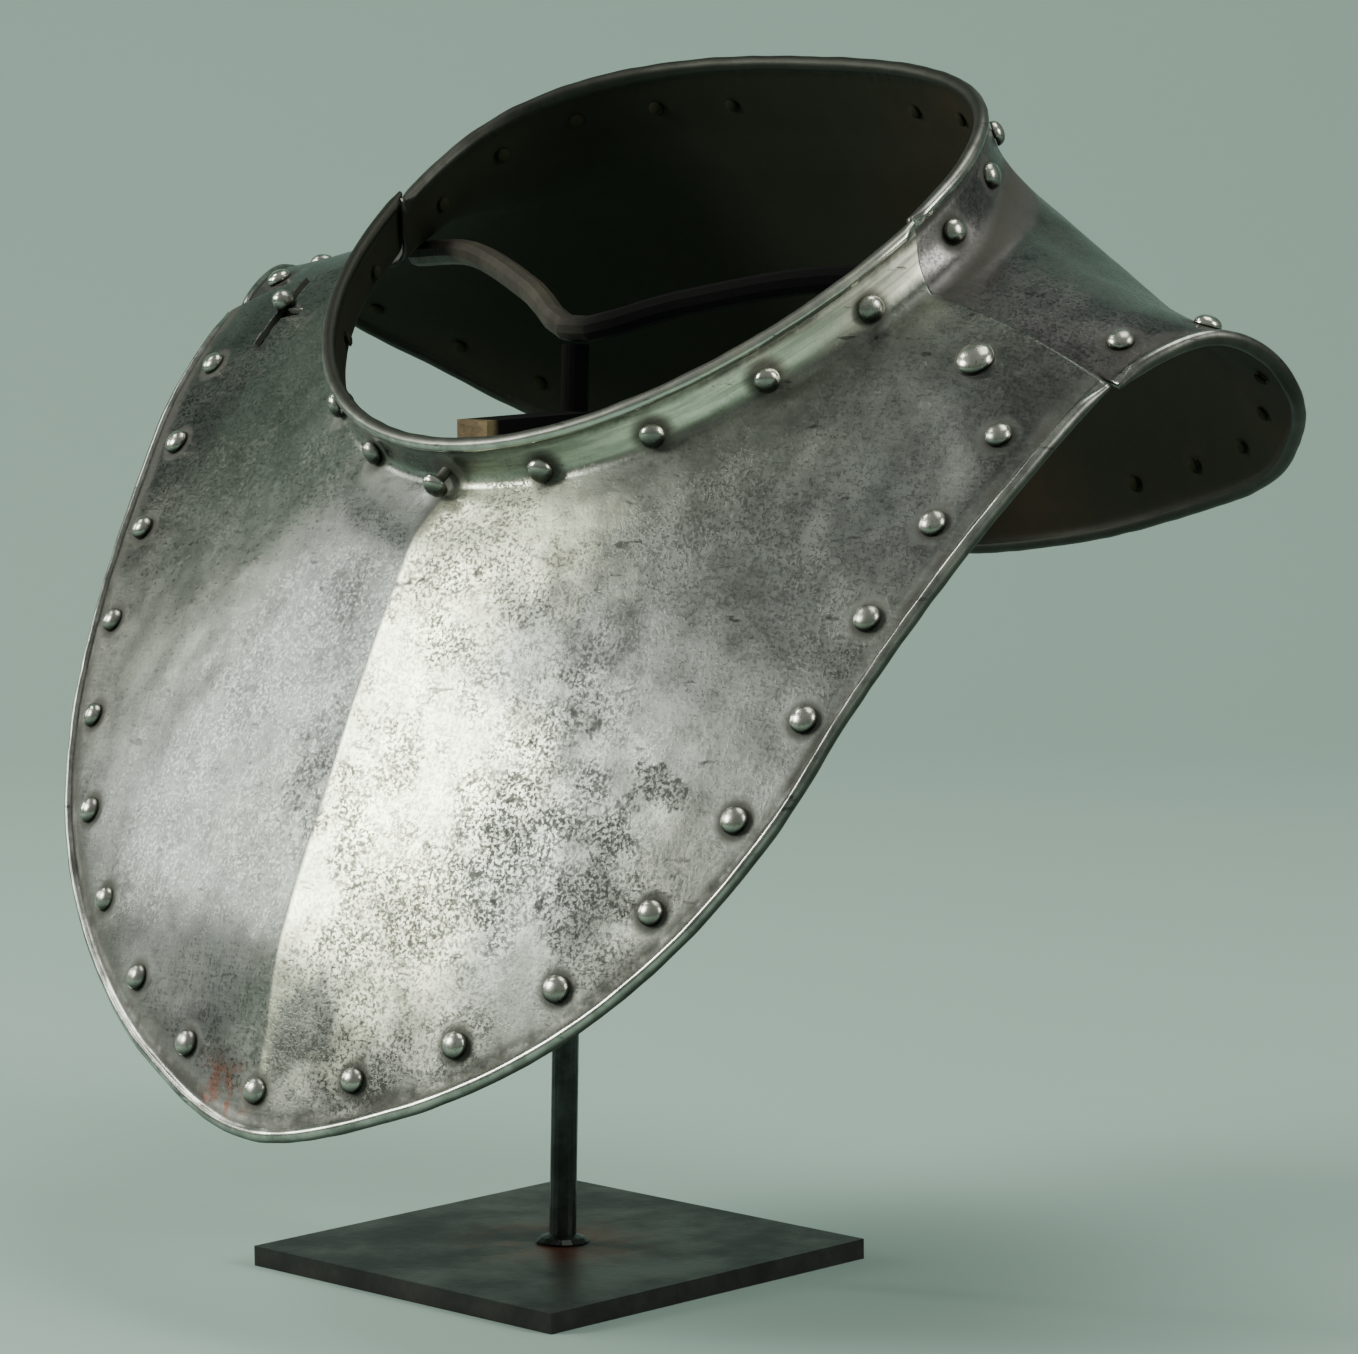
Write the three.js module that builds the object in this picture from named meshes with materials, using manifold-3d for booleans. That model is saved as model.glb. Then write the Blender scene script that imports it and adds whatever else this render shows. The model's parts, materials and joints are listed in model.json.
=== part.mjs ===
// A steel gorget of two riveted plates, hung on a plain display stand.
// Millimetres, +Z up. The origin is the middle of the stand's underside, the front faces -Y
// and the wearer's left side is +X.
import * as THREE from 'three';
import { mergeVertices } from 'three/addons/utils/BufferGeometryUtils.js';
import Module from 'manifold-3d';

const wasm = await Module();
wasm.setup();

// Stand
const BASE_SIDE = 101.6;
const BASE_THICKNESS = 4.76;
const POLE_DIAMETER = 6.35;
const POLE_HEIGHT = 211;
const POLE_LEAN = 2.3;
const POLE_OFFSET = 1.2;
const WELD_RADIUS = 6.5;
const WELD_HEIGHT = 1.6;
const YOKE_DIAMETER = 6.2;
const YOKE_PLACE = 8.7;
const YOKE_ACROSS = 0.17;
const YOKE_RISE = 6.5;
const YOKE_SHOULDER = 0.62;
const YOKE_NECK = 0.25;
const YOKE_CLEARANCE = 0.62;
const PROP_WIDTH = 10;
const PROP_THICKNESS = 5;
const PROP_ACROSS = -0.36;
const PROP_GAP = 9.5;
const SEAT_GAP = 0.3;

// Gorget as a whole
const SIDE_TILT = 1.3;
const HALF_WIDTH = 158;
const FRONT_REACH = 96.4;
const BACK_REACH = 130;
const FRONT_LOW = 44.4;
const CREST_HEIGHT = 226.8;
const NECK_HALF_WIDTH = 86.3;
const NECK_FORE = 76.2;
const NECK_AFT = 51;
const NECK_MIDDLE = 35;
const NECK_FRONT_HEIGHT = 196.9;
const NECK_SLOPE = 34;
const NECK_SADDLE = 5;
const NECK_BACK_POWER = 2.3;
const COLLAR_HEIGHT = 13.5;
const COLLAR_LEAN = 31;
const BULGE = 8;
const RIDGE_HEIGHT = 4.6;
const RIDGE_SPREAD = 60;

// Plates
const WALL = 1.5;
const LAP_GAP = 0.8;
const ROLL_RADIUS = 1.75;
const ROLL_TAPER = 0.35;
const ROLL_REACH = 3;
const SEAM_BOW = 7.5;
const SEAM_GAP = 0.6;
const TONGUE = 20;
const FRONT_COLUMNS = 32;
const BACK_COLUMNS = 36;

// Fasteners
const RIVET_HEAD = 3.1;
const RIVET_RISE = 2.1;
const RIVET_SHANK = 1.2;
const RIVET_TAIL = 1.9;
const RIVET_SIDES = 6;
const HOLE_GAP = 0.3;
const DRILL_LENGTH = 9;
const RIVET_GAP = 0.45;
const PIVOT_PLACE = 7.2;
const PIVOT_ACROSS = 0.46;
const STUD_PLACE = 7.3;
const STUD_ACROSS = 0.5;
const PIVOT_HEAD = 4.7;
const PIVOT_RISE = 2.6;
const PIVOT_SHANK = 2.2;
const PIVOT_TAIL = 3.3;
const PIVOT_SIDES = 16;
const STUD_HEAD = 2.9;
const STUD_RISE = 3.4;
const STUD_SHANK = 1.2;
const STUD_TAIL = 2.1;
const STUD_SIDES = 12;
const STUD_LIFT = 0.5;
const SLOT_FORE = 12.5;
const SLOT_GAP = 0.35;
const NOTCH_LENGTH = 5;
const NOTCH_WIDTH = 1.6;
const FRONT_RIVET_INSET = 11;
const SIDE_RIVET_INSET = 15.5;
const BACK_RIVET_INSET = 11;
const EDGE_PITCH_FRONT = 29.3;
const EDGE_PITCH_SIDE = 24.4;
const FRONT_EDGE_RIVETS = 9;
const COLLAR_RIVET_DROP = 9.3;
const COLLAR_PITCH = 28;
const FRONT_COLLAR_RIVETS = 4;
const BACK_EDGE_START = 10.5;
const BACK_EDGE_PITCH = 24;
const BACK_EDGE_RIVETS = 7;
const BACK_COLLAR_START = 9.5;
const BACK_COLLAR_PITCH = 22;
const BACK_COLLAR_RIVETS = 5;

// Sections round the gorget, from the front centre over the shoulder to the back centre.
// neck: degrees round the neck. out, fore, aft, high: the outer edge, as shares of HALF_WIDTH,
// FRONT_REACH, BACK_REACH and of the rise from FRONT_LOW to CREST_HEIGHT. collar, spread and ease:
// the collar's height, how far its foot stands out and how softly it meets the plate, as shares
// of COLLAR_HEIGHT. bulge: how far the plate's middle stands out, as a share of BULGE.
const STATIONS = [
  {
    neck: 0, out: 0, fore: 1, aft: 0, high: 0,
    collar: 0.8, spread: -0.16, ease: 0.2, bulge: 0.5,
  },
  {
    neck: 12, out: 0.273, fore: 0.928, aft: 0, high: 0.058,
    collar: 0.8, spread: -0.12, ease: 0.2, bulge: 0.56,
  },
  {
    neck: 24, out: 0.485, fore: 0.81, aft: 0, high: 0.154,
    collar: 0.83, spread: -0.05, ease: 0.2, bulge: 0.6,
  },
  {
    neck: 36, out: 0.641, fore: 0.678, aft: 0, high: 0.277,
    collar: 0.87, spread: 0, ease: 0.2, bulge: 0.5,
  },
  {
    neck: 48, out: 0.742, fore: 0.527, aft: 0, high: 0.418,
    collar: 0.92, spread: 0.05, ease: 0.22, bulge: 0.38,
  },
  {
    neck: 59, out: 0.798, fore: 0.366, aft: 0, high: 0.566,
    collar: 0.98, spread: 0.1, ease: 0.25, bulge: 0.3,
  },
  {
    neck: 69, out: 0.849, fore: 0.178, aft: 0, high: 0.706,
    collar: 1, spread: 0.14, ease: 0.3, bulge: 0.28,
  },
  {
    neck: 77, out: 0.896, fore: -0.01, aft: 0, high: 0.825,
    collar: 1.02, spread: 0.16, ease: 0.35, bulge: 0.32,
  },
  {
    neck: 84, out: 0.929, fore: 0, aft: 0.18, high: 0.935,
    collar: 1.05, spread: 0.18, ease: 0.42, bulge: 0.3,
  },
  {
    neck: 93, out: 0.968, fore: 0, aft: 0.3, high: 0.988,
    collar: 1.15, spread: 0.15, ease: 0.5, bulge: 0,
  },
  {
    neck: 102, out: 0.995, fore: 0, aft: 0.4, high: 1,
    collar: 1.32, spread: 0.1, ease: 0.55, bulge: -0.25,
  },
  {
    neck: 111, out: 1.004, fore: 0, aft: 0.512, high: 0.97,
    collar: 1.55, spread: 0.02, ease: 0.65, bulge: -0.2,
  },
  {
    neck: 120, out: 0.998, fore: 0, aft: 0.6, high: 0.915,
    collar: 1.62, spread: 0, ease: 0.75, bulge: -0.05,
  },
  {
    neck: 130, out: 0.922, fore: 0, aft: 0.72, high: 0.856,
    collar: 1.6, spread: 0, ease: 0.85, bulge: 0.2,
  },
  {
    neck: 141, out: 0.797, fore: 0, aft: 0.836, high: 0.786,
    collar: 1.55, spread: 0, ease: 1, bulge: 0.55,
  },
  {
    neck: 153, out: 0.606, fore: 0, aft: 0.915, high: 0.728,
    collar: 1.5, spread: 0, ease: 1.1, bulge: 0.85,
  },
  {
    neck: 166, out: 0.32, fore: 0, aft: 0.968, high: 0.662,
    collar: 1.5, spread: 0, ease: 1.2, bulge: 1,
  },
  {
    neck: 180, out: 0, fore: 0, aft: 1, high: 0.627,
    collar: 1.5, spread: 0, ease: 1.2, bulge: 1,
  },
];
const SEAM = 8;
const BACK_CENTRE = STATIONS.length - 1;
const MIRRORED = new Set(['neck', 'out']);

const NEST = WALL + LAP_GAP;
const DEG = Math.PI / 180;
const UP = new THREE.Vector3(0, 0, 1);
const COLLAR_AXIS = new THREE.Vector3(0, -Math.sin(COLLAR_LEAN * DEG), Math.cos(COLLAR_LEAN * DEG));

// One column of the table at any place round the gorget, smooth across both centres.
function column(name, place) {
  const last = BACK_CENTRE;
  const value = (index) => {
    if (index < 0) {
      return MIRRORED.has(name) ? -STATIONS[-index][name] : STATIONS[-index][name];
    }
    if (index > last) {
      const row = STATIONS[2 * last - index];
      if (name === 'neck') return 360 - row.neck;
      return name === 'out' ? -row.out : row[name];
    }
    return STATIONS[index][name];
  };
  const low = Math.floor(place);
  const part = place - low;
  const [a, b, c, d] = [value(low - 1), value(low), value(low + 1), value(low + 2)];
  const slope = (c - a) / 2;
  const next = (d - b) / 2;
  const cubic = 2 * (b - c) + slope + next;
  const square = 3 * (c - b) - 2 * slope - next;
  return b + part * (slope + part * (square + part * cubic));
}

function smooth(from, to, value) {
  const share = THREE.MathUtils.clamp((value - from) / (to - from), 0, 1);
  return share * share * (3 - 2 * share);
}

// The rolled rim of the neck, an egg-shaped ring that rises towards the back.
function neckRim(degrees) {
  const angle = degrees * DEG;
  const cosine = Math.cos(angle);
  const behind = cosine < 0;
  const power = behind ? 2 / NECK_BACK_POWER : 1;
  const across = Math.sign(Math.sin(angle)) * Math.abs(Math.sin(angle)) ** power;
  const along = Math.abs(cosine) ** power;
  const y = NECK_MIDDLE + (behind ? NECK_AFT : -NECK_FORE) * along;
  const rise = (y - NECK_MIDDLE + NECK_FORE) * Math.tan(NECK_SLOPE * DEG);
  const z = NECK_FRONT_HEIGHT + rise + NECK_SADDLE * across * across;
  return new THREE.Vector3(NECK_HALF_WIDTH * across, y, z);
}

// The frame of one section: rim, collar foot, outer edge and the middle control point of the plate.
function section(place) {
  const rim = neckRim(column('neck', place));
  const outward = new THREE.Vector3(rim.x, rim.y - NECK_MIDDLE, 0).normalize();
  const foot = rim.clone().addScaledVector(COLLAR_AXIS, -COLLAR_HEIGHT * column('collar', place));
  foot.addScaledVector(outward, COLLAR_HEIGHT * column('spread', place));
  const edge = new THREE.Vector3(
    HALF_WIDTH * column('out', place),
    BACK_REACH * column('aft', place) - FRONT_REACH * column('fore', place),
    FRONT_LOW + (CREST_HEIGHT - FRONT_LOW) * column('high', place),
  );
  const chord = edge.clone().sub(foot);
  const facing = outward.add(UP);
  const along = chord.clone().normalize();
  facing.addScaledVector(along, -facing.dot(along)).normalize();
  const control = foot.clone().add(edge).multiplyScalar(0.5);
  control.addScaledVector(facing, 2 * BULGE * column('bulge', place));
  const ease = COLLAR_HEIGHT * column('ease', place);
  return { rim, foot, edge, control, facing, length: chord.length(), ease };
}

function bend(from, control, to, share) {
  const rest = 1 - share;
  return from.clone().multiplyScalar(rest * rest)
    .addScaledVector(control, 2 * rest * share)
    .addScaledVector(to, share * share);
}

// The outer face of the gorget. across runs from -1 at the neck rim through 0 at the collar's foot
// to 1 at the outer edge.
function face(place, across) {
  const { rim, foot, edge, control, facing, length, ease } = section(place);
  const collarEase = Math.min(0.8, ease / rim.distanceTo(foot));
  const plateEase = Math.min(0.8, ease / length);
  const onPlate = (share) => bend(foot, control, edge, share);
  const onCollar = (share) => foot.clone().lerp(rim, share);
  let point;
  if (across <= -collarEase) point = onCollar(-across);
  else if (across >= plateEase) point = onPlate(across);
  else {
    const share = (across + collarEase) / (collarEase + plateEase);
    point = bend(onCollar(collarEase), foot, onPlate(plateEase), share);
  }
  const fade = Math.max(0, 1 - Math.abs(point.x) / RIDGE_SPREAD) ** 2;
  const inFront = Math.abs(place) < SEAM ? 1 : 0;
  const run = smooth(0, 0.12, across) * (1 - smooth(0.7, 0.95, across));
  return point.addScaledVector(facing, RIDGE_HEIGHT * fade * run * inFront);
}

// The outward direction of that face.
function outwards(place, across) {
  const step = 0.01;
  const offset = Math.abs(place) < 0.5 ? 0 : step;
  const side = place < 0 ? -1 : 1;
  const around = offset
    ? face(place + step, across).sub(face(place - step, across))
    : face(place + step * side, across).sub(face(place, across)).multiplyScalar(side);
  const low = Math.max(-1, across - step);
  const high = Math.min(1, across + step);
  const down = face(place, high).sub(face(place, low));
  const normal = down.cross(around).normalize();
  if (place === 0 || place === BACK_CENTRE) normal.x = 0;
  return normal.normalize();
}

function shell(place, across, inset) {
  return face(place, across).addScaledVector(outwards(place, across), -inset);
}

// A plate: its section loop of two faces and two rolled edges, carried round the gorget.
// start and end give the place where each line of the plate begins and ends.
function plate({ start, end, columns, rows, inset }) {
  const loops = [];
  for (let index = 0; index <= columns; index += 1) {
    const share = index / columns;
    const placeAt = (across) => THREE.MathUtils.lerp(start(across), end(across), share);
    const taper = smooth(0, ROLL_TAPER, Math.min(placeAt(1) - start(1), end(1) - placeAt(1)));
    const { rim: top, foot, length } = section(placeAt(1));
    const acrossAt = (row) => row * (1 - ROLL_REACH / (row < 0 ? top.distanceTo(foot) : length));
    const outer = rows.map((row) => shell(placeAt(acrossAt(row)), acrossAt(row), inset));
    const inner = rows.map((row) => shell(placeAt(acrossAt(row)), acrossAt(row), inset + WALL));
    const roll = (across) => {
      const normal = outwards(placeAt(across), across);
      const tip = shell(placeAt(across), across, inset + WALL / 2);
      const beside = acrossAt(across);
      const away = tip.clone().sub(shell(placeAt(beside), beside, inset + WALL / 2)).normalize();
      const radius = THREE.MathUtils.lerp(WALL / 2, ROLL_RADIUS, taper);
      return (degrees) => tip.clone()
        .addScaledVector(away, radius * (Math.cos(degrees * DEG) - 1))
        .addScaledVector(normal, radius * Math.sin(degrees * DEG));
    };
    const rim = roll(-1);
    const edge = roll(1);
    loops.push([
      rim(0), rim(55), rim(115), ...outer, edge(115), edge(55), edge(0), edge(-55), edge(-115),
      ...inner.reverse(), rim(-115), rim(-55),
    ]);
  }
  const size = loops[0].length;
  const positions = loops.flat().flatMap((point) => point.toArray());
  const faces = [];
  for (let index = 0; index < columns; index += 1) {
    for (let corner = 0; corner < size; corner += 1) {
      const next = (corner + 1) % size;
      const [a, b] = [index * size + corner, index * size + next];
      const [c, d] = [a + size, b + size];
      if (index < columns / 2) faces.push(a, b, d, a, d, c);
      else faces.push(a, b, c, b, d, c);
    }
  }
  const cap = (index, flip) => {
    for (let corner = 0; corner < size / 2; corner += 1) {
      const first = index * size + corner;
      const second = first + 1;
      const far = index * size + ((size - corner) % size);
      const near = index * size + ((size - corner - 1) % size);
      const pair = [[first, far, near], [first, near, second]];
      for (const [a, b, c] of pair) {
        if (a !== b && b !== c && a !== c) faces.push(...(flip ? [a, c, b] : [a, b, c]));
      }
    }
  };
  cap(0, false);
  cap(columns, true);
  const geometry = new THREE.BufferGeometry();
  geometry.setAttribute('position', new THREE.Float32BufferAttribute(positions, 3));
  geometry.setIndex(faces);
  return geometry;
}

function solid(geometry, matrix = new THREE.Matrix4()) {
  const bare = geometry.clone().applyMatrix4(matrix);
  bare.deleteAttribute('normal');
  bare.deleteAttribute('uv');
  const merged = mergeVertices(bare, 1e-4);
  const kept = [];
  const index = merged.index.array;
  for (let corner = 0; corner < index.length; corner += 3) {
    const [a, b, c] = index.subarray(corner, corner + 3);
    if (a !== b && b !== c && a !== c) kept.push(a, b, c);
  }
  return new wasm.Manifold(new wasm.Mesh({
    numProp: 3, vertProperties: merged.attributes.position.array, triVerts: new Uint32Array(kept),
  }));
}

function geometryOf(manifold) {
  const mesh = manifold.getMesh();
  const geometry = new THREE.BufferGeometry();
  geometry.setAttribute('position', new THREE.BufferAttribute(new Float32Array(mesh.vertProperties), 3));
  geometry.setIndex([...mesh.triVerts]);
  return geometry;
}

// A place on the gorget's face, turned so that +Y points outwards.
function seat(place, across, inset = 0) {
  const normal = outwards(place, across);
  const turn = new THREE.Quaternion().setFromUnitVectors(new THREE.Vector3(0, 1, 0), normal);
  return new THREE.Matrix4().compose(shell(place, across, inset), turn, new THREE.Vector3(1, 1, 1));
}

// How far the curved face rises above, and falls below, the flat seat of a disc of this radius.
function relief(place, across, radius) {
  const centre = face(place, across);
  const normal = outwards(place, across);
  const step = 0.01;
  const aside = radius * step / face(place + step, across).distanceTo(centre);
  const along = radius * step / face(place, across - step).distanceTo(centre);
  const heights = [0];
  for (let turn = 0; turn < 8; turn += 1) {
    const angle = turn * Math.PI / 4;
    const point = face(place + aside * Math.cos(angle), Math.max(-1, across + along * Math.sin(angle)));
    heights.push(point.sub(centre).dot(normal));
  }
  return { above: Math.max(...heights), below: -Math.min(...heights) };
}

// A turned fastener: domed head, shank and peened tail. Its seat is at height 0, and head and tail
// clear the curved plate there.
function fastener({ head, rise, shank, tail, grip, sides, place, across, lift = 0 }) {
  const top = RIVET_GAP + lift + relief(place, across, head).above;
  const foot = -grip - RIVET_GAP - relief(place, across, tail).below;
  const profile = [
    [0, top + rise], [head * 0.7, top + rise * 0.75], [head, top],
    [shank, top], [shank, foot], [tail, foot], [0, foot - tail * 0.45],
  ];
  return new THREE.LatheGeometry(profile.map(([x, y]) => new THREE.Vector2(x, y)).reverse(), sides);
}

// A many-sided drill whose flats clear a shank of this radius all round.
function drill(shank, sides) {
  const radius = (shank + HOLE_GAP) / Math.cos(Math.PI / sides);
  return new THREE.CylinderGeometry(radius, radius, DRILL_LENGTH, sides);
}

// Places along a line parallel to the plate's edge or rim, at given distances from its start.
function walk(from, to, acrossAt, distances) {
  const steps = 600;
  const found = [];
  let travelled = 0;
  let previous = face(from, acrossAt(from));
  for (let step = 1; step <= steps && found.length < distances.length; step += 1) {
    const place = THREE.MathUtils.lerp(from, to, step / steps);
    const point = face(place, acrossAt(place));
    travelled += point.distanceTo(previous);
    while (found.length < distances.length && travelled >= distances[found.length]) found.push(place);
    previous = point;
  }
  return found;
}

const nearFrontEdge = (place) => {
  const inset = THREE.MathUtils.lerp(FRONT_RIVET_INSET, SIDE_RIVET_INSET, Math.abs(place) / SEAM);
  return 1 - inset / section(place).length;
};
const nearBackEdge = (place) => 1 - BACK_RIVET_INSET / section(place).length;
const onCollar = (place) => {
  const { rim, foot } = section(place);
  return COLLAR_RIVET_DROP / rim.distanceTo(foot) - 1;
};

function mirroredRow(centre, places) {
  const both = places.flatMap((place) => [2 * centre - place, place]);
  return both.sort((a, b) => a - b);
}

const edgeRun = [];
for (let index = 0, run = 0; index < FRONT_EDGE_RIVETS; index += 1) {
  run += THREE.MathUtils.lerp(EDGE_PITCH_FRONT, EDGE_PITCH_SIDE, index / (FRONT_EDGE_RIVETS - 1));
  edgeRun.push(run);
}
const pitchRun = (start, pitch, count) => Array.from({ length: count }, (_, index) => start + pitch * index);

const frontEdgeRun = walk(0, SEAM, nearFrontEdge, edgeRun);
const frontCollarRun = walk(0, SEAM, onCollar, pitchRun(COLLAR_PITCH, COLLAR_PITCH, FRONT_COLLAR_RIVETS));
const backEdgeRun = walk(
  SEAM, BACK_CENTRE, nearBackEdge, pitchRun(BACK_EDGE_START, BACK_EDGE_PITCH, BACK_EDGE_RIVETS),
);
const backCollarRun = walk(
  SEAM, BACK_CENTRE, onCollar, pitchRun(BACK_COLLAR_START, BACK_COLLAR_PITCH, BACK_COLLAR_RIVETS),
);
const frontEdgePlaces = [0, ...mirroredRow(0, frontEdgeRun)];
const frontCollarPlaces = [0, ...mirroredRow(0, frontCollarRun)];
const backEdgePlaces = mirroredRow(BACK_CENTRE, backEdgeRun);
const backCollarPlaces = mirroredRow(BACK_CENTRE, backCollarRun);
const RIVET_ROWS = [
  { name: 'front_edge_rivet', on: 'front', across: nearFrontEdge, places: frontEdgePlaces },
  { name: 'front_collar_rivet', on: 'front', across: onCollar, places: frontCollarPlaces },
  { name: 'back_edge_rivet', on: 'back', across: nearBackEdge, places: backEdgePlaces },
  { name: 'back_collar_rivet', on: 'back', across: onCollar, places: backCollarPlaces },
];

const STEEL = new THREE.MeshStandardMaterial({ color: 0x8d8d90, roughness: 0.35, metalness: 1 });
const RIVET_STEEL = new THREE.MeshStandardMaterial({ color: 0x9a9a98, roughness: 0.3, metalness: 1 });
const STAND_STEEL = new THREE.MeshStandardMaterial({ color: 0x2c2624, roughness: 0.6, metalness: 0.8 });
const TAN_STEEL = new THREE.MeshStandardMaterial({ color: 0x6a5b3c, roughness: 0.7, metalness: 0.5 });

const stand = new THREE.Group();
const gorget = new THREE.Group();
gorget.rotation.y = SIDE_TILT * DEG;

function add(group, name, geometry, material, matrix) {
  const mesh = new THREE.Mesh(geometry, material);
  mesh.name = name;
  if (matrix) matrix.decompose(mesh.position, mesh.quaternion, mesh.scale);
  group.add(mesh);
  return mesh;
}

// The pivot on the wearer's left shoulder and the stud on the right one.
const pivotSeat = seat(PIVOT_PLACE, PIVOT_ACROSS);
const studSeat = seat(-STUD_PLACE, STUD_ACROSS);

// Direction in which the stud leaves its slot when the front plate turns about the pivot.
const pivotPoint = new THREE.Vector3().setFromMatrixPosition(pivotSeat);
const studPoint = new THREE.Vector3().setFromMatrixPosition(studSeat);
const pivotAxis = outwards(PIVOT_PLACE, PIVOT_ACROSS);
const leaving = pivotAxis.clone().cross(studPoint.clone().sub(pivotPoint)).normalize().negate();

function slotCut() {
  const half = STUD_SHANK + SLOT_GAP;
  const reach = 60;
  const shape = new THREE.Shape();
  shape.moveTo(half, -SLOT_FORE);
  shape.lineTo(half, reach);
  shape.lineTo(-half, reach);
  shape.lineTo(-half, -SLOT_FORE);
  shape.absarc(0, -SLOT_FORE, half, Math.PI, 2 * Math.PI, false);
  const notch = new THREE.Shape();
  notch.moveTo(-half, -half - NOTCH_WIDTH);
  notch.lineTo(half + NOTCH_LENGTH, -half - NOTCH_WIDTH);
  notch.lineTo(half + NOTCH_LENGTH, -half);
  notch.lineTo(-half, -half);
  const normal = outwards(-STUD_PLACE, STUD_ACROSS);
  const along = leaving.clone().addScaledVector(normal, -leaving.dot(normal)).normalize();
  const across = along.clone().cross(normal);
  const frame = new THREE.Matrix4().makeBasis(across, along, normal);
  frame.setPosition(studPoint.clone().addScaledVector(normal, -NEST));
  const depth = 2 * NEST;
  const options = { depth, bevelEnabled: false, curveSegments: 6 };
  const slot = solid(new THREE.ExtrudeGeometry(shape, options), frame);
  return slot.add(solid(new THREE.ExtrudeGeometry(notch, options), frame));
}

const perPlace = (place, across) => face(place + 0.5, across).distanceTo(face(place - 0.5, across));

// Front plate, which lies over the back plate at both shoulders.
const collarRows = [-1, -0.5, -0.22, 0];
const frontRows = [...collarRows, 0.05, 0.14, 0.3, 0.48, 0.66, 0.82, 0.93, 1];
const frontEnd = (across) => SEAM - SEAM_BOW * (1 - Math.abs(across)) / perPlace(SEAM, across);
const frontStart = (across) => -frontEnd(across);
let front = solid(plate({
  start: frontStart, end: frontEnd, columns: FRONT_COLUMNS, rows: frontRows, inset: 0,
}));

// Back plate, one wall and a gap smaller, with a tongue under the front plate at each shoulder.
const tongueShare = (across) => smooth(0.12, 0.35, across) * (1 - smooth(0.7, 0.9, across));
const backStart = (across) => {
  const reach = SEAM_GAP * (1 - tongueShare(across)) - TONGUE * tongueShare(across);
  return frontEnd(across) + reach / perPlace(SEAM, across);
};
const backEnd = (across) => 2 * BACK_CENTRE - backStart(across);
const backRows = [...collarRows, 0.08, 0.16, 0.27, 0.42, 0.6, 0.78, 0.91, 1];
let back = solid(plate({
  start: backStart, end: backEnd, columns: BACK_COLUMNS, rows: backRows, inset: NEST,
}));

for (const row of RIVET_ROWS) {
  const inset = row.on === 'back' ? NEST : 0;
  const sorted = [...row.places].sort((a, b) => a - b);
  sorted.forEach((place, index) => {
    const matrix = seat(place, row.across(place), inset);
    const hole = solid(drill(RIVET_SHANK, RIVET_SIDES), matrix);
    if (row.on === 'front') front = front.subtract(hole);
    else back = back.subtract(hole);
    const geometry = fastener({
      head: RIVET_HEAD, rise: RIVET_RISE, shank: RIVET_SHANK, tail: RIVET_TAIL, grip: WALL,
      sides: RIVET_SIDES,
      place, across: row.across(place),
    });
    add(gorget, `${row.name}_${String(index + 1).padStart(2, '0')}`, geometry, RIVET_STEEL, matrix);
  });
}

const pivotHole = solid(drill(PIVOT_SHANK, PIVOT_SIDES), pivotSeat);
const studHole = solid(drill(STUD_SHANK, STUD_SIDES), studSeat);
front = front.subtract(pivotHole).subtract(slotCut());
back = back.subtract(pivotHole).subtract(studHole);
add(gorget, 'front_plate', geometryOf(front), STEEL);
add(gorget, 'back_plate', geometryOf(back), STEEL);
add(gorget, 'pivot_rivet', fastener({
  head: PIVOT_HEAD, rise: PIVOT_RISE, shank: PIVOT_SHANK, tail: PIVOT_TAIL, grip: WALL + NEST,
  sides: PIVOT_SIDES,
  place: PIVOT_PLACE, across: PIVOT_ACROSS,
}), RIVET_STEEL, pivotSeat);
add(gorget, 'closure_stud', fastener({
  head: STUD_HEAD, rise: STUD_RISE, shank: STUD_SHANK, tail: STUD_TAIL, grip: WALL + NEST,
  sides: STUD_SIDES,
  place: -STUD_PLACE, across: STUD_ACROSS, lift: STUD_LIFT,
}), RIVET_STEEL, studSeat);

// Stand: a square plate, a slightly leaning pole and a yoke that carries the back plate's shoulders.
add(stand, 'stand_base', new THREE.BoxGeometry(BASE_SIDE, BASE_SIDE, BASE_THICKNESS), STAND_STEEL,
  new THREE.Matrix4().makeTranslation(0, 0, BASE_THICKNESS / 2));

const poleRadius = POLE_DIAMETER / 2;
const poleProfile = [
  [0, 0], [WELD_RADIUS, 0], [WELD_RADIUS * 0.8, WELD_HEIGHT * 0.6], [poleRadius, WELD_HEIGHT],
  [poleRadius, POLE_HEIGHT], [0, POLE_HEIGHT],
];
const pole = new THREE.LatheGeometry(poleProfile.map(([x, y]) => new THREE.Vector2(x, y)), 16);
const poleFoot = new THREE.Vector3(0, POLE_OFFSET, BASE_THICKNESS + SEAT_GAP);
const poleMatrix = new THREE.Matrix4().makeRotationX((90 - POLE_LEAN) * DEG).setPosition(poleFoot);
add(stand, 'stand_pole', pole, STAND_STEEL, poleMatrix);

// A round bar bent over the pole's top, with its ends under the back plate's shoulders.
const yokeInset = NEST + WALL + YOKE_CLEARANCE + YOKE_DIAMETER / 2;
const yokeEnd = shell(YOKE_PLACE, YOKE_ACROSS, yokeInset).applyEuler(gorget.rotation);
const yokeOther = shell(-YOKE_PLACE, YOKE_ACROSS, yokeInset).applyEuler(gorget.rotation);
const poleTop = new THREE.Vector3(0, POLE_HEIGHT + SEAT_GAP, 0).applyMatrix4(poleMatrix);
const saddle = poleTop.clone().add(new THREE.Vector3(0, 0, YOKE_DIAMETER / 2));
function yokeHalf(end) {
  const middle = saddle.clone().lerp(end, YOKE_SHOULDER);
  middle.z += YOKE_RISE;
  const near = saddle.clone().lerp(end, YOKE_NECK);
  near.z = (saddle.z + middle.z) / 2;
  return [near, middle];
}
const [nearLeft, highLeft] = yokeHalf(yokeEnd);
const [nearRight, highRight] = yokeHalf(yokeOther);
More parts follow.
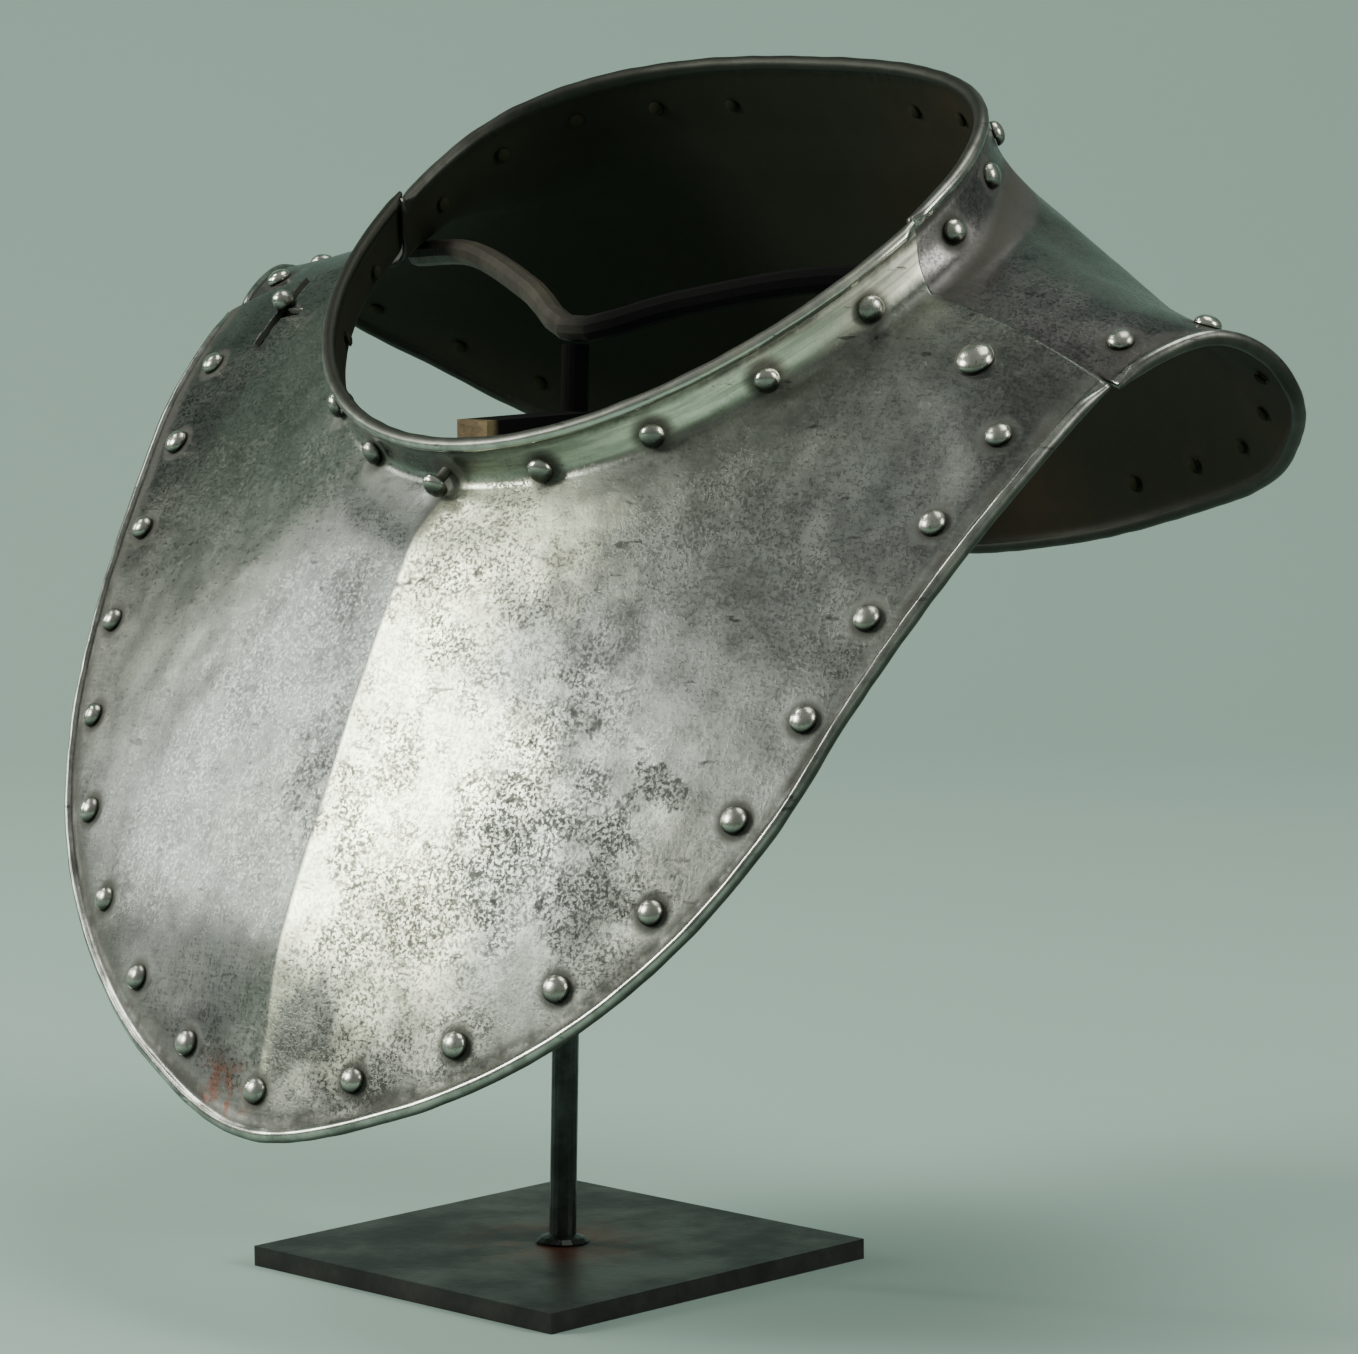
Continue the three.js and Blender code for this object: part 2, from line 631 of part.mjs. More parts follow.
const yokePath = new THREE.CatmullRomCurve3([
  yokeEnd, highLeft, nearLeft, saddle, nearRight, highRight, yokeOther,
]);
const ring = new THREE.Shape().absarc(0, 0, YOKE_DIAMETER / 2, 0, 2 * Math.PI, false);
const yoke = new THREE.ExtrudeGeometry(ring, {
  steps: 28, curveSegments: 5, bevelEnabled: false, extrudePath: yokePath,
});
add(stand, 'stand_yoke', yoke, TAN_STEEL);

// A short flat bar from the pole to the front plate's collar.
const propBack = poleRadius + SEAT_GAP;
const collarInside = shell(0, PROP_ACROSS, WALL + SEAT_GAP + PROP_GAP).applyEuler(gorget.rotation);
const poleMiddle = new THREE.Vector3(0, collarInside.z - poleFoot.z, 0).applyMatrix4(poleMatrix);
const propLength = poleMiddle.y - propBack - collarInside.y;
add(stand, 'stand_prop', new THREE.BoxGeometry(PROP_WIDTH, propLength, PROP_THICKNESS), TAN_STEEL,
  new THREE.Matrix4().makeTranslation(collarInside.x, collarInside.y + propLength / 2, collarInside.z));

export default new THREE.Group().add(stand, gorget);
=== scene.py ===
"""The looks of the steel gorget and its stand: plates, rivets, stand, floor, lights and camera."""
import json
import math
import random

import bpy
import numpy as np
from mathutils import Matrix, Vector, noise

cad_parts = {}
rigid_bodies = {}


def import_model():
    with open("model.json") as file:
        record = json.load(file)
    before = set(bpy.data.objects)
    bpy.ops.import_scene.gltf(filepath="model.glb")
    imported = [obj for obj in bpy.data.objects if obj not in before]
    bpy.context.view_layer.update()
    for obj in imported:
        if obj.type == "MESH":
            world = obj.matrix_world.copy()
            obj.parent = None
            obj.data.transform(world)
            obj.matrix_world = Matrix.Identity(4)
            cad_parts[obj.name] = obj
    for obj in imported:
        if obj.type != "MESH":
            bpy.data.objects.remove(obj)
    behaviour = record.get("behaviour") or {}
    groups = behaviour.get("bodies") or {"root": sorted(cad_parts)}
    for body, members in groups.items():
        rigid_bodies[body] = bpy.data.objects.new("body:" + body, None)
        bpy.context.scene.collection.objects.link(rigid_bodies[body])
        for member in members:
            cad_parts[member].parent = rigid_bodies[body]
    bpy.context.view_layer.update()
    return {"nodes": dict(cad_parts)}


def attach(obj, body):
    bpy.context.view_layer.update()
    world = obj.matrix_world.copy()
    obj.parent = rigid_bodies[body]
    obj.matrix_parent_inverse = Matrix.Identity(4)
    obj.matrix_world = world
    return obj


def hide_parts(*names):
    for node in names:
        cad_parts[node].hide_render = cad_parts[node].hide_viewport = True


MM = 0.001
SEED = 7

# The camera that the picture was taken from: metres, degrees and millimetres of lens.
CAMERA_PLACE = (0.9238, -0.8733, 0.2919)
CAMERA_AZIMUTH = 45.26
CAMERA_ELEVATION = 6.88
CAMERA_ROLL = 0.71
CAMERA_LENS, CAMERA_SENSOR, CAMERA_CLIP = 145.8, 36, (0.05, 50)

# The gorget, in millimetres and degrees, in its own frame, which is tilted by SIDE_TILT about Y.
SIDE_TILT = 1.3
HALF_WIDTH, FRONT_REACH, BACK_REACH = 158.0, 96.4, 130.0
FRONT_LOW, CREST_HEIGHT = 44.4, 226.8
NECK_HALF_WIDTH, NECK_FORE, NECK_AFT, NECK_MIDDLE = 86.3, 76.2, 51.0, 35.0
NECK_FRONT_HEIGHT, NECK_SLOPE, NECK_SADDLE, NECK_BACK_POWER = 196.9, 34.0, 5.0, 2.3
COLLAR_HEIGHT, COLLAR_LEAN, BULGE = 13.5, 31.0, 8.0
RIDGE_HEIGHT, RIDGE_SPREAD = 4.6, 60.0
WALL, LAP_GAP = 1.5, 0.8
NEST = WALL + LAP_GAP
ROLL_RADIUS, ROLL_REACH, ROLL_TAPER = 1.75, 3.0, 0.35
SEAM_BOW, SEAM_GAP, CORNER_GAP, TONGUE, COLLAR_LAP = 7.5, 0.6, 1.8, 20.0, 3.2
SEAM, BACK_CENTRE = 8.0, 17.0
# Shares of the way from the neck rim (-1) or the collar's foot (0) to the outer edge (1).
TONGUE_RISE, TONGUE_FALL, CORNER_RISE, LAP_FADE = (0.12, 0.35), (0.7, 0.9), (0.88, 1), (-0.4, 0.05)
RIDGE_RISE, RIDGE_FALL, EASE_LIMIT = (0, 0.12), (0.7, 0.95), 0.8

# Sections round the gorget from the front centre to the back centre, the same shares as the part's:
# degrees round the neck; the edge's place outwards, forwards, backwards and upwards; the collar's
# height, the spread and softness of its foot; the plate's bulge.
STATIONS = np.array([
    (0, 0, 1, 0, 0, 0.8, -0.16, 0.2, 0.5),
    (12, 0.273, 0.928, 0, 0.058, 0.8, -0.12, 0.2, 0.56),
    (24, 0.485, 0.81, 0, 0.154, 0.83, -0.05, 0.2, 0.6),
    (36, 0.641, 0.678, 0, 0.277, 0.87, 0, 0.2, 0.5),
    (48, 0.742, 0.527, 0, 0.418, 0.92, 0.05, 0.22, 0.38),
    (59, 0.798, 0.366, 0, 0.566, 0.98, 0.1, 0.25, 0.3),
    (69, 0.849, 0.178, 0, 0.706, 1, 0.14, 0.3, 0.28),
    (77, 0.896, -0.01, 0, 0.825, 1.02, 0.16, 0.35, 0.32),
    (84, 0.929, 0, 0.18, 0.935, 1.05, 0.18, 0.42, 0.3),
    (93, 0.968, 0, 0.3, 0.988, 1.15, 0.15, 0.5, 0),
    (102, 0.995, 0, 0.4, 1, 1.32, 0.1, 0.55, -0.25),
    (111, 1.004, 0, 0.512, 0.97, 1.55, 0.02, 0.65, -0.2),
    (120, 0.998, 0, 0.6, 0.915, 1.62, 0, 0.75, -0.05),
    (130, 0.922, 0, 0.72, 0.856, 1.6, 0, 0.85, 0.2),
    (141, 0.797, 0, 0.836, 0.786, 1.55, 0, 1, 0.55),
    (153, 0.606, 0, 0.915, 0.728, 1.5, 0, 1.1, 0.85),
    (166, 0.32, 0, 0.968, 0.662, 1.5, 0, 1.2, 1),
    (180, 0, 0, 1, 0.627, 1.5, 0, 1.2, 1),
], float)
# Shape of the wear on plates, in millimetres: how deep and how wide each kind of unevenness is.
DENT_DEPTH, DENT_SIZE = 0.55, 34.0
HAMMER_DEPTH, HAMMER_SIZE = 0.14, 9.0
RIM_DEPTH, RIM_SIZE = 0.16, 6.0
# The unevenness fades out over this many columns at the lapped ends, so that the plates slide freely.
FLAT_COLUMNS = 44
HEAD_SKIRT = 0.4
RIVET_LEAN = 0.05
STAINED_PITS = 0.25
# Shade near edges, of the mottle and of stains, and how far stains wander in millimetres.
EDGE_SHADE, MOTTLE, STAIN_SHADE, STAIN_WOBBLE = 0.54, 0.66, 0.42, 9.0
STAIN_CORE, STAIN_REACH, BROKEN_RANGE = 0.2, 1.25, (0.32, 0.68)

# Ranges in the plates' finish: from low and high, in millimetres or of a pattern, to low and high.
RAMPS = {
    "worn_lit_wander": (0.3, 0.7, -16.0, 16.0),
    "ridge_line": (-0.8, 0.8, 0.0, 1.0),
    "worn_lit_outer": (24.0, 56.0, 1.0, 0.0),
    "worn_lit_top": (178.0, 196.0, 1.0, 0.0),
    "worn_lit_foot": (52.0, 76.0, 0.0, 1.0),
    "foot_wander": (0.3, 0.7, -14.0, 14.0),
    "collar_band": (8.5, 12.5, 1.0, 0.0),
    "collar_worn_sheen": (5.0, 66.0, 0.0, 1.0),
    "collar_streaks": (0.3, 0.6, 0.8, 1.0),
    "haze": (0.35, 0.7, 0.0, 1.0),
    "rim": (1.6, 3.2, 1.0, 0.0),
    "rim_worn": (0.38, 0.62, 0.0, 1.0),
    "at_neck": (2.0, 6.0, 1.0, 0.0),
    "neck_shaded": (-80.0, 10.0, 0.95, 0.0),
    "dirt_and_shade": (0.4, 0.62, 0.0, 1.0),
    "edge_groove_in": (2.6, 3.8, 0.0, 1.0),
    "edge_groove_out": (4.2, 9.5, 1.0, 0.0),
    "rim_groove_in": (2.4, 3.2, 0.0, 1.0),
    "rim_groove_out": (3.4, 5.6, 1.0, 0.0),
    "foot_in": (12.0, 15.5, 0.0, 1.0),
    "foot_out": (15.5, 27.0, 1.0, 0.0),
    "foot_side": (20.0, 60.0, 0.05, 0.6),
    "rivet_ring": (3.0, 6.4, 1.0, 0.0),
    "cluster": (0.42, 0.62, 0.0, 0.8),
    "pitted_ridge": (-1.0, 4.0, 0.0, 1.0),
    "pitted_outer": (55.0, 92.0, 1.0, 0.0),
    "speck": (0.47, 0.62, 0.0, 1.0),
    "blot": (0.54, 0.66, 0.0, 1.0),
    "clear_of_rim": (2.2, 4.5, 0.0, 1.0),
    "shade_wander": (0.3, 0.7, -12.0, 12.0),
    "streak_shade": (0.35, 0.62, 0.7, 1.0),
    "collar_shade": (0.0, 55.0, 0.65, 1.0),
    "shaded_rim": (2.2, 4.5, 1.0, 0.0),
    "scratch": (0.85, 1.3, 0.0, 1.0),
    "fleck": (0.64, 0.7, 0.0, 1.0),
    "rust": (0.46, 0.6, 0.0, 1.0),
    "rolled_under_shade": (2.5, 4.5, 1.0, 0.0),
    "inner_shade": (1.5, 4.0, 0.0, 1.0),
    "stain": (0.42, 0.7, 0.0, 1.0),
    "stain_side": (-20.0, 60.0, 0.0, 1.0),
    "patch": (0.35, 0.68, 0.0, 1.0),
    "fine_spots": (0.58, 0.7, 0.0, 1.0),
    "weld_rust": (0.42, 0.6, 0.0, 1.0),
    "border_shade": (4.0, 44.0, EDGE_SHADE, 1.0),
    "side_shade": (-100.0, -45.0, EDGE_SHADE, 1.0),
    "mottle": (0.38, 0.6, MOTTLE, 1.0),
    "weld_ring": (0.008, 0.034, 1.0, 0.0),
}

# Random patterns: scale per metre, detail and roughness.
PATTERNS = {
    "cloud": (22, 5, 0.55),
    "broken": (75, 5, 0.7),
    "haze": (9, 3, 0.55),
    "rim_worn": (110, 5, 0.65),
    "dirt_and_shade": (55, 6, 0.7),
    "cluster": (38, 6, 0.7),
    "speck": (1150, 3, 0.7),
    "blot": (430, 5, 0.75),
    "mottle": (85, 7, 0.74),
    "rust": (160, 5, 0.7),
    "stain": (14, 4, 0.55),
    "lumps": (60, 3, 0.55),
    "weld_rust": (95, 6, 0.7),
    "streak": (1, 4, 0.6),
    "fleck": (1, 4, 0.6),
    "brush": (1, 2, 0.55),
}

# How much each kind of wear shows.
AMOUNTS = {
    "haze": 0.2,
    "dirt_and_shade_base": 0.35,
    "dirt_and_shade_noise": 0.65,
    "rivet_ring": 0.92,
    "speck_cluster": 0.75,
    "speck_base": 0.16,
    "blot_base": 0.1,
    "collar_pits": 0.2,
    "shaded_rim": 0.72,
    "scratch": 0.14,
    "pits": 0.86,
    "fleck": 0.7,
    "dirt_and_shade": 0.85,
    "rust": 0.8,
    "rolled_under_shade": 0.88,
    "stain": 0.35,
    "dull_metal": 0.7,
    "inner_shade_metal": 0.8,
    "scratch_rough": 0.05,
    "lump_relief": 0.5,
    "scratch_relief": 0.02,
    "pit_relief": 0.16,
    "groove_relief": 0.1,
}

# Linear colours of dirt, rust, and painted shade in grooves and hollows, on undersides, on the inside and in
# hidden places.
COLOURS = {
    "scratch": (0.4, 0.396, 0.388, 1.0),
    "pit": (0.035, 0.035, 0.02975, 1.0),
    "fleck": (0.04, 0.04, 0.04, 1.0),
    "dirt_and_shade": (0.05, 0.049, 0.0375, 1.0),
    "rust": (0.16, 0.045, 0.02, 1.0),
    "rolled_under_shade": (0.035, 0.0378, 0.02975, 1.0),
    "inner": (0.014, 0.0154, 0.0084, 1.0),
    "stain": (0.075, 0.032, 0.014, 1.0),
    "black": (0.0, 0.0, 0.0, 1.0),
    "spot": (0.03, 0.027, 0.024, 1.0),
    "base_rust": (0.11, 0.032, 0.014, 1.0),
    "tail": (0.02, 0.021, 0.012, 1.0),
    "in_shade": (0.006, 0.006, 0.006, 1.0),
    "underside": (0.03, 0.0315, 0.027, 1.0),
}

# Stretch and turn of the patterns: streaks along the collar, two ways of brushing, and flecks.
STREAK_ALONG, STREAK_ACROSS = 0.07, 0.6
BRUSH_SCALE, BRUSH_TURN = (1400.0, 1400.0, 90.0), (0.25, 0.5, 0.2)
CROSS_SCALE, CROSS_TURN = (110.0, 1500.0, 1500.0), (0.7, 0.1, 0.5)
FLECK_SCALE = (110.0, 110.0, 420.0)

# Where the back plate's rim keeps its painted highlight, in metres from the middle, and which faces look
# downward and take painted shade.
BACK_RIM_HIGHLIGHT, DOWNWARD = (0.035, 0.075), (-0.55, 0.3)

# Relief, roughness and gloss: pairs run from a clean to a worn, shaded inner or hidden place.
RELIEF_STRENGTH, RELIEF_DEPTH = 0.55, 0.0006
RIM_POLISH, RIM_ROUGHNESS, UNDER_ROUGHNESS, DIRT_ROUGHNESS = (0.35, 0.95), (0.45, 0.24), 0.55, 0.75
INNER_SHADE_GLOSS, HIDDEN_GLOSS, HIDDEN_ROUGHNESS = (0.5, 0.15), (0.5, 0.05), 0.9

# Patches and finer spots of rivets and stand.
PATCH_DETAIL, PATCH_ROUGHNESS = 6.0, 0.65
SPOT_SHARE, SPOT_DETAIL, SPOT_ROUGHNESS, SPOT_AMOUNT, SPOT_STRENGTH = 12, 4.0, 0.6, 0.6, 0.5
DARK_ROUGHER, BRIGHT_SMOOTHER = 0.08, 0.05

# Stained and pitted patches of the front plate: across from the ridge, height and radius in
# millimetres, and strength.
STAINS = (
    (37, 169, 9, 0.7),
    (62, 160, 12, 0.65),
    (64, 147, 11, 0.75),
    (14, 127, 9, 0.5),
    (63, 118, 16, 0.8),
    (10, 168, 7, 0.6),
    (-17, 163, 10, 0.6),
    (88, 126, 6, 0.9),
    (37, 97, 17, 0.7),
    (-7, 124, 11, 0.7),
    (26, 63, 20, 1.0),
    (80, 109, 16, 0.95),
    (86, 92, 14, 0.6),
)

# A smooth patch low on the ridge, left out of the bright area and its painted highlight, and a rusty one at
# its foot: across, height, inner and outer radius.
SMOOTH_PATCH, RUSTY_PATCH = (11, 71, 5, 19), (-12, 52, 2, 13)

# Degrees round a rolled edge, from the outer face to the inner one, and where it counts as turned under and
# takes painted shade.
ROLL_ARC = [118, 100, 82, 64, 46, 28, 10, -10, -28, -46, -64, -82, -100, -118]
TURNED_UNDER = (-65, -15)

# The plates' rows from the neck rim to the outer edge: from, to and how many.
ACROSS_ROWS = ((-1, -0.25, 7), (-0.2, 0.16, 13), (0.2, 1, 45))
# How far behind the front plate's end, in millimetres, the back plate counts as covered and takes the
# painted shade of the inside.
COVERED_RANGE = (0.2, 1.6)

# The keyhole slot, in millimetres from the stud.
PIVOT_PLACE, PIVOT_ACROSS, STUD_PLACE, STUD_ACROSS = 7.2, 0.46, 7.3, 0.5
SLOT_HALF, SLOT_FORE, SLOT_BACK = 1.75, 12.5, 40.0
NOTCH_BELOW, NOTCH_ABOVE, NOTCH_REACH = 4.4, 1.8, 8.5
SLOT_SEEN, SLOT_STEPS, SLOT_WANDER, SLOT_ROUND, NOTCH_SLANT = 12.0, 6, 0.35, 12, 0.8
SLOT_DEPTHS = (-NEST * 0.95, NEST)
# The cut walls count as inside, so they take the painted shade of the inner face.
SLOT_LAYERS = {"to_edge": 60, "to_rim": 60, "inside": 1, "to_rivet": 60, "from_ridge": -90, "height": 200,
               "covered": 0, "under": 0}

# Finishes of the plates.
# PLATE_BRIGHT is worn bright steel that also serves as a painted highlight.
PLATE_DARK, PLATE_BRIGHT = (0.197, 0.216, 0.199, 1), (0.87, 0.905, 0.67, 1)
# COLLAR_BRIGHT brightens the polished collar as a painted reflection.
COLLAR_BRIGHT = (1.0, 0.98, 0.82, 1)
# RIM_BRIGHT is the rims' worn steel, which also carries a painted highlight.
RIM_BRIGHT = (0.5, 0.51, 0.46, 1)
BACK_DARK, BACK_BRIGHT = (0.15, 0.145, 0.142, 1), (0.34, 0.33, 0.31, 1)
PLATE_ROUGHNESS, WORN_ROUGHNESS = 0.27, 0.34

# Finishes of rivets and stand: linear colours, roughness, metal, patches per metre, depth of bumps and
# band of painted shade in metres, rust, and the painted shade on undersides.
STEELS = (
    {"name": "rivet_steel", "dark": (0.38, 0.38, 0.34, 1), "bright": (0.62, 0.62, 0.55, 1),
     "rough": 0.24, "metal": 1.0, "patch_scale": 160.0, "bump": 0.00006, "underside": 0.9},
    {"name": "base_steel", "dark": (0.018, 0.018, 0.017, 1), "bright": (0.05, 0.047, 0.04, 1),
     "rough": 0.42, "metal": 0.6, "patch_scale": 40.0, "bump": 0.0002, "rust": 0.8},
    {"name": "pole_steel", "dark": (0.018, 0.022, 0.02, 1), "bright": (0.055, 0.062, 0.056, 1),
     "rough": 0.33, "metal": 0.9, "patch_scale": 60.0, "bump": 0.0002, "shade": ("Z", 0.11, 0.14)},
    # The yoke's tan steel is painted near-black as shade, and one of its arms darker still.
    {"name": "shaded_yoke_steel", "dark": (0.012, 0.01, 0.006, 1), "bright": (0.045, 0.04, 0.022, 1),
     "rough": 0.62, "metal": 0.3, "patch_scale": 60.0, "bump": 0.0003, "shade": ("X", -0.012, 0.012)},
)
PROP_STEEL = {
    "name": "prop_steel", "dark": (0.1, 0.07, 0.03, 1), "bright": (0.26, 0.19, 0.09, 1),
    "rough": 0.5, "metal": 0.4, "patch_scale": 60.0, "bump": 0.0003,
}
# The prop is shaded from this far to this far behind its end, in metres.
PROP_SHADE = (0.001, 0.004)
STAND_FINISHES = {
    "stand_base": "base_steel",
    "stand_pole": "pole_steel",
    "stand_yoke": "shaded_yoke_steel",
    "stand_prop": "prop_steel",
}
BEVEL_WIDTH, BEVEL_SEGMENTS, BEVEL_ANGLE = 0.0005, 2, 50

# How finely the plates and rivets are made, and how much rivets differ in size.
PLATE_COLUMNS, RIVET_SIDES, TAIL_RINGS, DOME_STEPS = 420, 28, 4, 8
DOME_POWER, DOME_FLAT, RIVET_SIZES = 0.9, 0.02, (0.95, 1.03)
SHANK_SHARE = 0.38
# A rivet's tail: share of its radius and height above its end in millimetres.
TAIL_SHARE = 0.62
TAIL_PROFILE = ((0.3, 0), (0.8, 0.35), (1, 0.8))
SHANK_START = 0.85
# Points nearer than RIVET_REACH to a rivet know their distance to it, in millimetres.
RIVET_REACH, FAR_FROM_RIVETS = 20, 99.0
WIDEST = 0.98

# Studio, in metres, degrees and watts.
FLOOR_COLOUR = (0.376, 0.515, 0.452, 1)
SWEEP_START, SWEEP_RADIUS, SWEEP_STEPS = 0.9, 0.8, 16
FLOOR_AHEAD, FLOOR_HALF_WIDTH, WALL_HEIGHT = 3.0, 3.5, 4.0
FLOOR_ROUGHNESS, FLOOR_GLOSS = 0.9, 0.1
WORLD_RANGE = (-0.1, 0.9)
LIGHTS_AIM = (0, 0, 0.15)
WORLD_LOW, WORLD_HIGH, WORLD_POWER = (0.33, 0.385, 0.34, 1), (0.5, 0.54, 0.505, 1), 0.55
# Lights: name, azimuth, elevation, distance, width, height and power.
LIGHTS = (
    ("key", -37, 25, 1.5, 0.45, 0.5, 17),
    ("left", -69, 16, 1.6, 0.14, 0.46, 4.2),
    ("high", -66, 48, 1.6, 0.3, 0.3, 3.5),
    ("right", 108, 26, 1.5, 0.4, 0.7, 9.5),
    ("above", 150, 76, 1.7, 1.1, 0.8, 11),
)
LIGHT_TINT = (1.0, 1.0, 0.95)

NECK, OUT, FORE, AFT, HIGH, COLLAR, SPREAD, EASE, SWELL = range(9)
MIRRORED = (NECK, OUT)
COLLAR_AXIS = np.array([0, -math.sin(math.radians(COLLAR_LEAN)), math.cos(math.radians(COLLAR_LEAN))])


def column(name, place):
    """One column of the table at places round the gorget, smooth across both centres."""
    last = int(BACK_CENTRE)

    def value(index):
        ahead = np.abs(index)
        behind = np.where(ahead > last, 2 * last - ahead, ahead)
        got = STATIONS[behind, name]
        if name in MIRRORED:
            got = np.where(index < 0, -got, got)
            got = np.where(index > last, (360 - got) if name == NECK else -got, got)
        return got

    low = np.floor(place).astype(int)
    part = place - low
    a, b, c, d = (value(low + step) for step in (-1, 0, 1, 2))
    slope, following = (c - a) / 2, (d - b) / 2
    cubic = 2 * (b - c) + slope + following
    square = 3 * (c - b) - 2 * slope - following
    return b + part * (slope + part * (square + part * cubic))


def smooth(low, high, value):
    share = np.clip((value - low) / (high - low), 0, 1)
    return share * share * (3 - 2 * share)


def length_of(vectors):
    return np.linalg.norm(vectors, axis=-1, keepdims=True)


def unit(vectors):
    return vectors / np.maximum(length_of(vectors), 1e-9)


def section(place):
    """Rim, collar foot, outer edge, middle control point, facing, plate length and ease of sections."""
    angle = np.radians(column(NECK, place))
    cosine, sine = np.cos(angle), np.sin(angle)
    behind = cosine < 0
    power = np.where(behind, 2 / NECK_BACK_POWER, 1.0)
    across = np.sign(sine) * np.abs(sine) ** power
    y = NECK_MIDDLE + np.where(behind, NECK_AFT, -NECK_FORE) * np.abs(cosine) ** power
    rise = (y - NECK_MIDDLE + NECK_FORE) * math.tan(math.radians(NECK_SLOPE))
    rim = np.stack([NECK_HALF_WIDTH * across, y, NECK_FRONT_HEIGHT + rise + NECK_SADDLE * across ** 2], -1)
    outward = unit(np.stack([rim[..., 0], rim[..., 1] - NECK_MIDDLE, np.zeros_like(y)], -1))
    foot = rim - COLLAR_AXIS * COLLAR_HEIGHT * column(COLLAR, place)[..., None]
    foot = foot + outward * COLLAR_HEIGHT * column(SPREAD, place)[..., None]
    edge = np.stack([
        HALF_WIDTH * column(OUT, place),
        BACK_REACH * column(AFT, place) - FRONT_REACH * column(FORE, place),
        FRONT_LOW + (CREST_HEIGHT - FRONT_LOW) * column(HIGH, place),
    ], -1)
    chord = edge - foot
    along = unit(chord)
    facing = outward + np.array([0, 0, 1.0])
    facing = unit(facing - along * np.sum(facing * along, -1, keepdims=True))
    control = (foot + edge) / 2 + facing * 2 * BULGE * column(SWELL, place)[..., None]
    return rim, foot, edge, control, facing, length_of(chord), COLLAR_HEIGHT * column(EASE, place)[..., None]


def bend(start, control, end, share):
    rest = 1 - share
    return start * rest * rest + control * 2 * rest * share + end * share * share


def face(place, across):
    """The outer face. across runs from -1 at the neck rim through 0 at the collar's foot to 1."""
    place, across = np.broadcast_arrays(np.asarray(place, float), np.asarray(across, float))
    rim, foot, edge, control, facing, length, ease = section(place)
    share = across[..., None]
    collar_ease = np.minimum(EASE_LIMIT, ease / length_of(rim - foot))
    plate_ease = np.minimum(EASE_LIMIT, ease / length)
    on_collar = foot + (rim - foot) * -share
    on_plate = bend(foot, control, edge, share)
    corner = bend(foot + (rim - foot) * collar_ease, foot, bend(foot, control, edge, plate_ease),
                  np.clip((share + collar_ease) / (collar_ease + plate_ease), 0, 1))
    point = np.where(share <= -collar_ease, on_collar, np.where(share >= plate_ease, on_plate, corner))
    fade = np.maximum(0, 1 - np.abs(point[..., :1]) / RIDGE_SPREAD) ** 2
    run = smooth(*RIDGE_RISE, share) * (1 - smooth(*RIDGE_FALL, share))
    return point + facing * RIDGE_HEIGHT * fade * run * (np.abs(place) < SEAM)[..., None]


def outwards(place, across):
    step = 0.01
    place, across = np.broadcast_arrays(np.asarray(place, float), np.asarray(across, float))
    around = face(place + step, across) - face(place - step, across)
    down = face(place, np.minimum(1, across + step)) - face(place, np.maximum(-1, across - step))
    return unit(np.cross(down, around))


def shell(place, across, inset):
    return face(place, across) - outwards(place, across) * inset


def per_place(place, across):
    return length_of(face(place + 0.5, across) - face(place - 0.5, across))[..., 0]


def front_start(across):
    return -front_end(across)


def front_end(across):
    return SEAM - SEAM_BOW * (1 - np.abs(across)) / per_place(np.full_like(across, SEAM), across)


def back_start(across, lap=0.0):
    tongue = smooth(*TONGUE_RISE, across) * (1 - smooth(*TONGUE_FALL, across))
    reach = CORNER_GAP * smooth(*CORNER_RISE, across) + SEAM_GAP * (1 - tongue) - TONGUE * tongue
    reach = reach - lap * (1 - smooth(*LAP_FADE, across))
    return front_end(across) + reach / per_place(np.full_like(across, SEAM), across)


def back_end(across):
    return 2 * BACK_CENTRE - back_start(across, COLLAR_LAP)


def end_cap(size):
    """Faces that close a section loop: quads along the wall and one face in each rolled edge."""
    first = len(ROLL_ARC)
    rows = size // 2 - first
    faces = [(first + row, first + row + 1, size - 2 - row, size - 1 - row) for row in range(rows - 1)]
    faces.append((size - 1,) + tuple(range(first + 1)))
    faces.append(tuple(range(first + rows - 1, size - rows + 1)))
    return faces


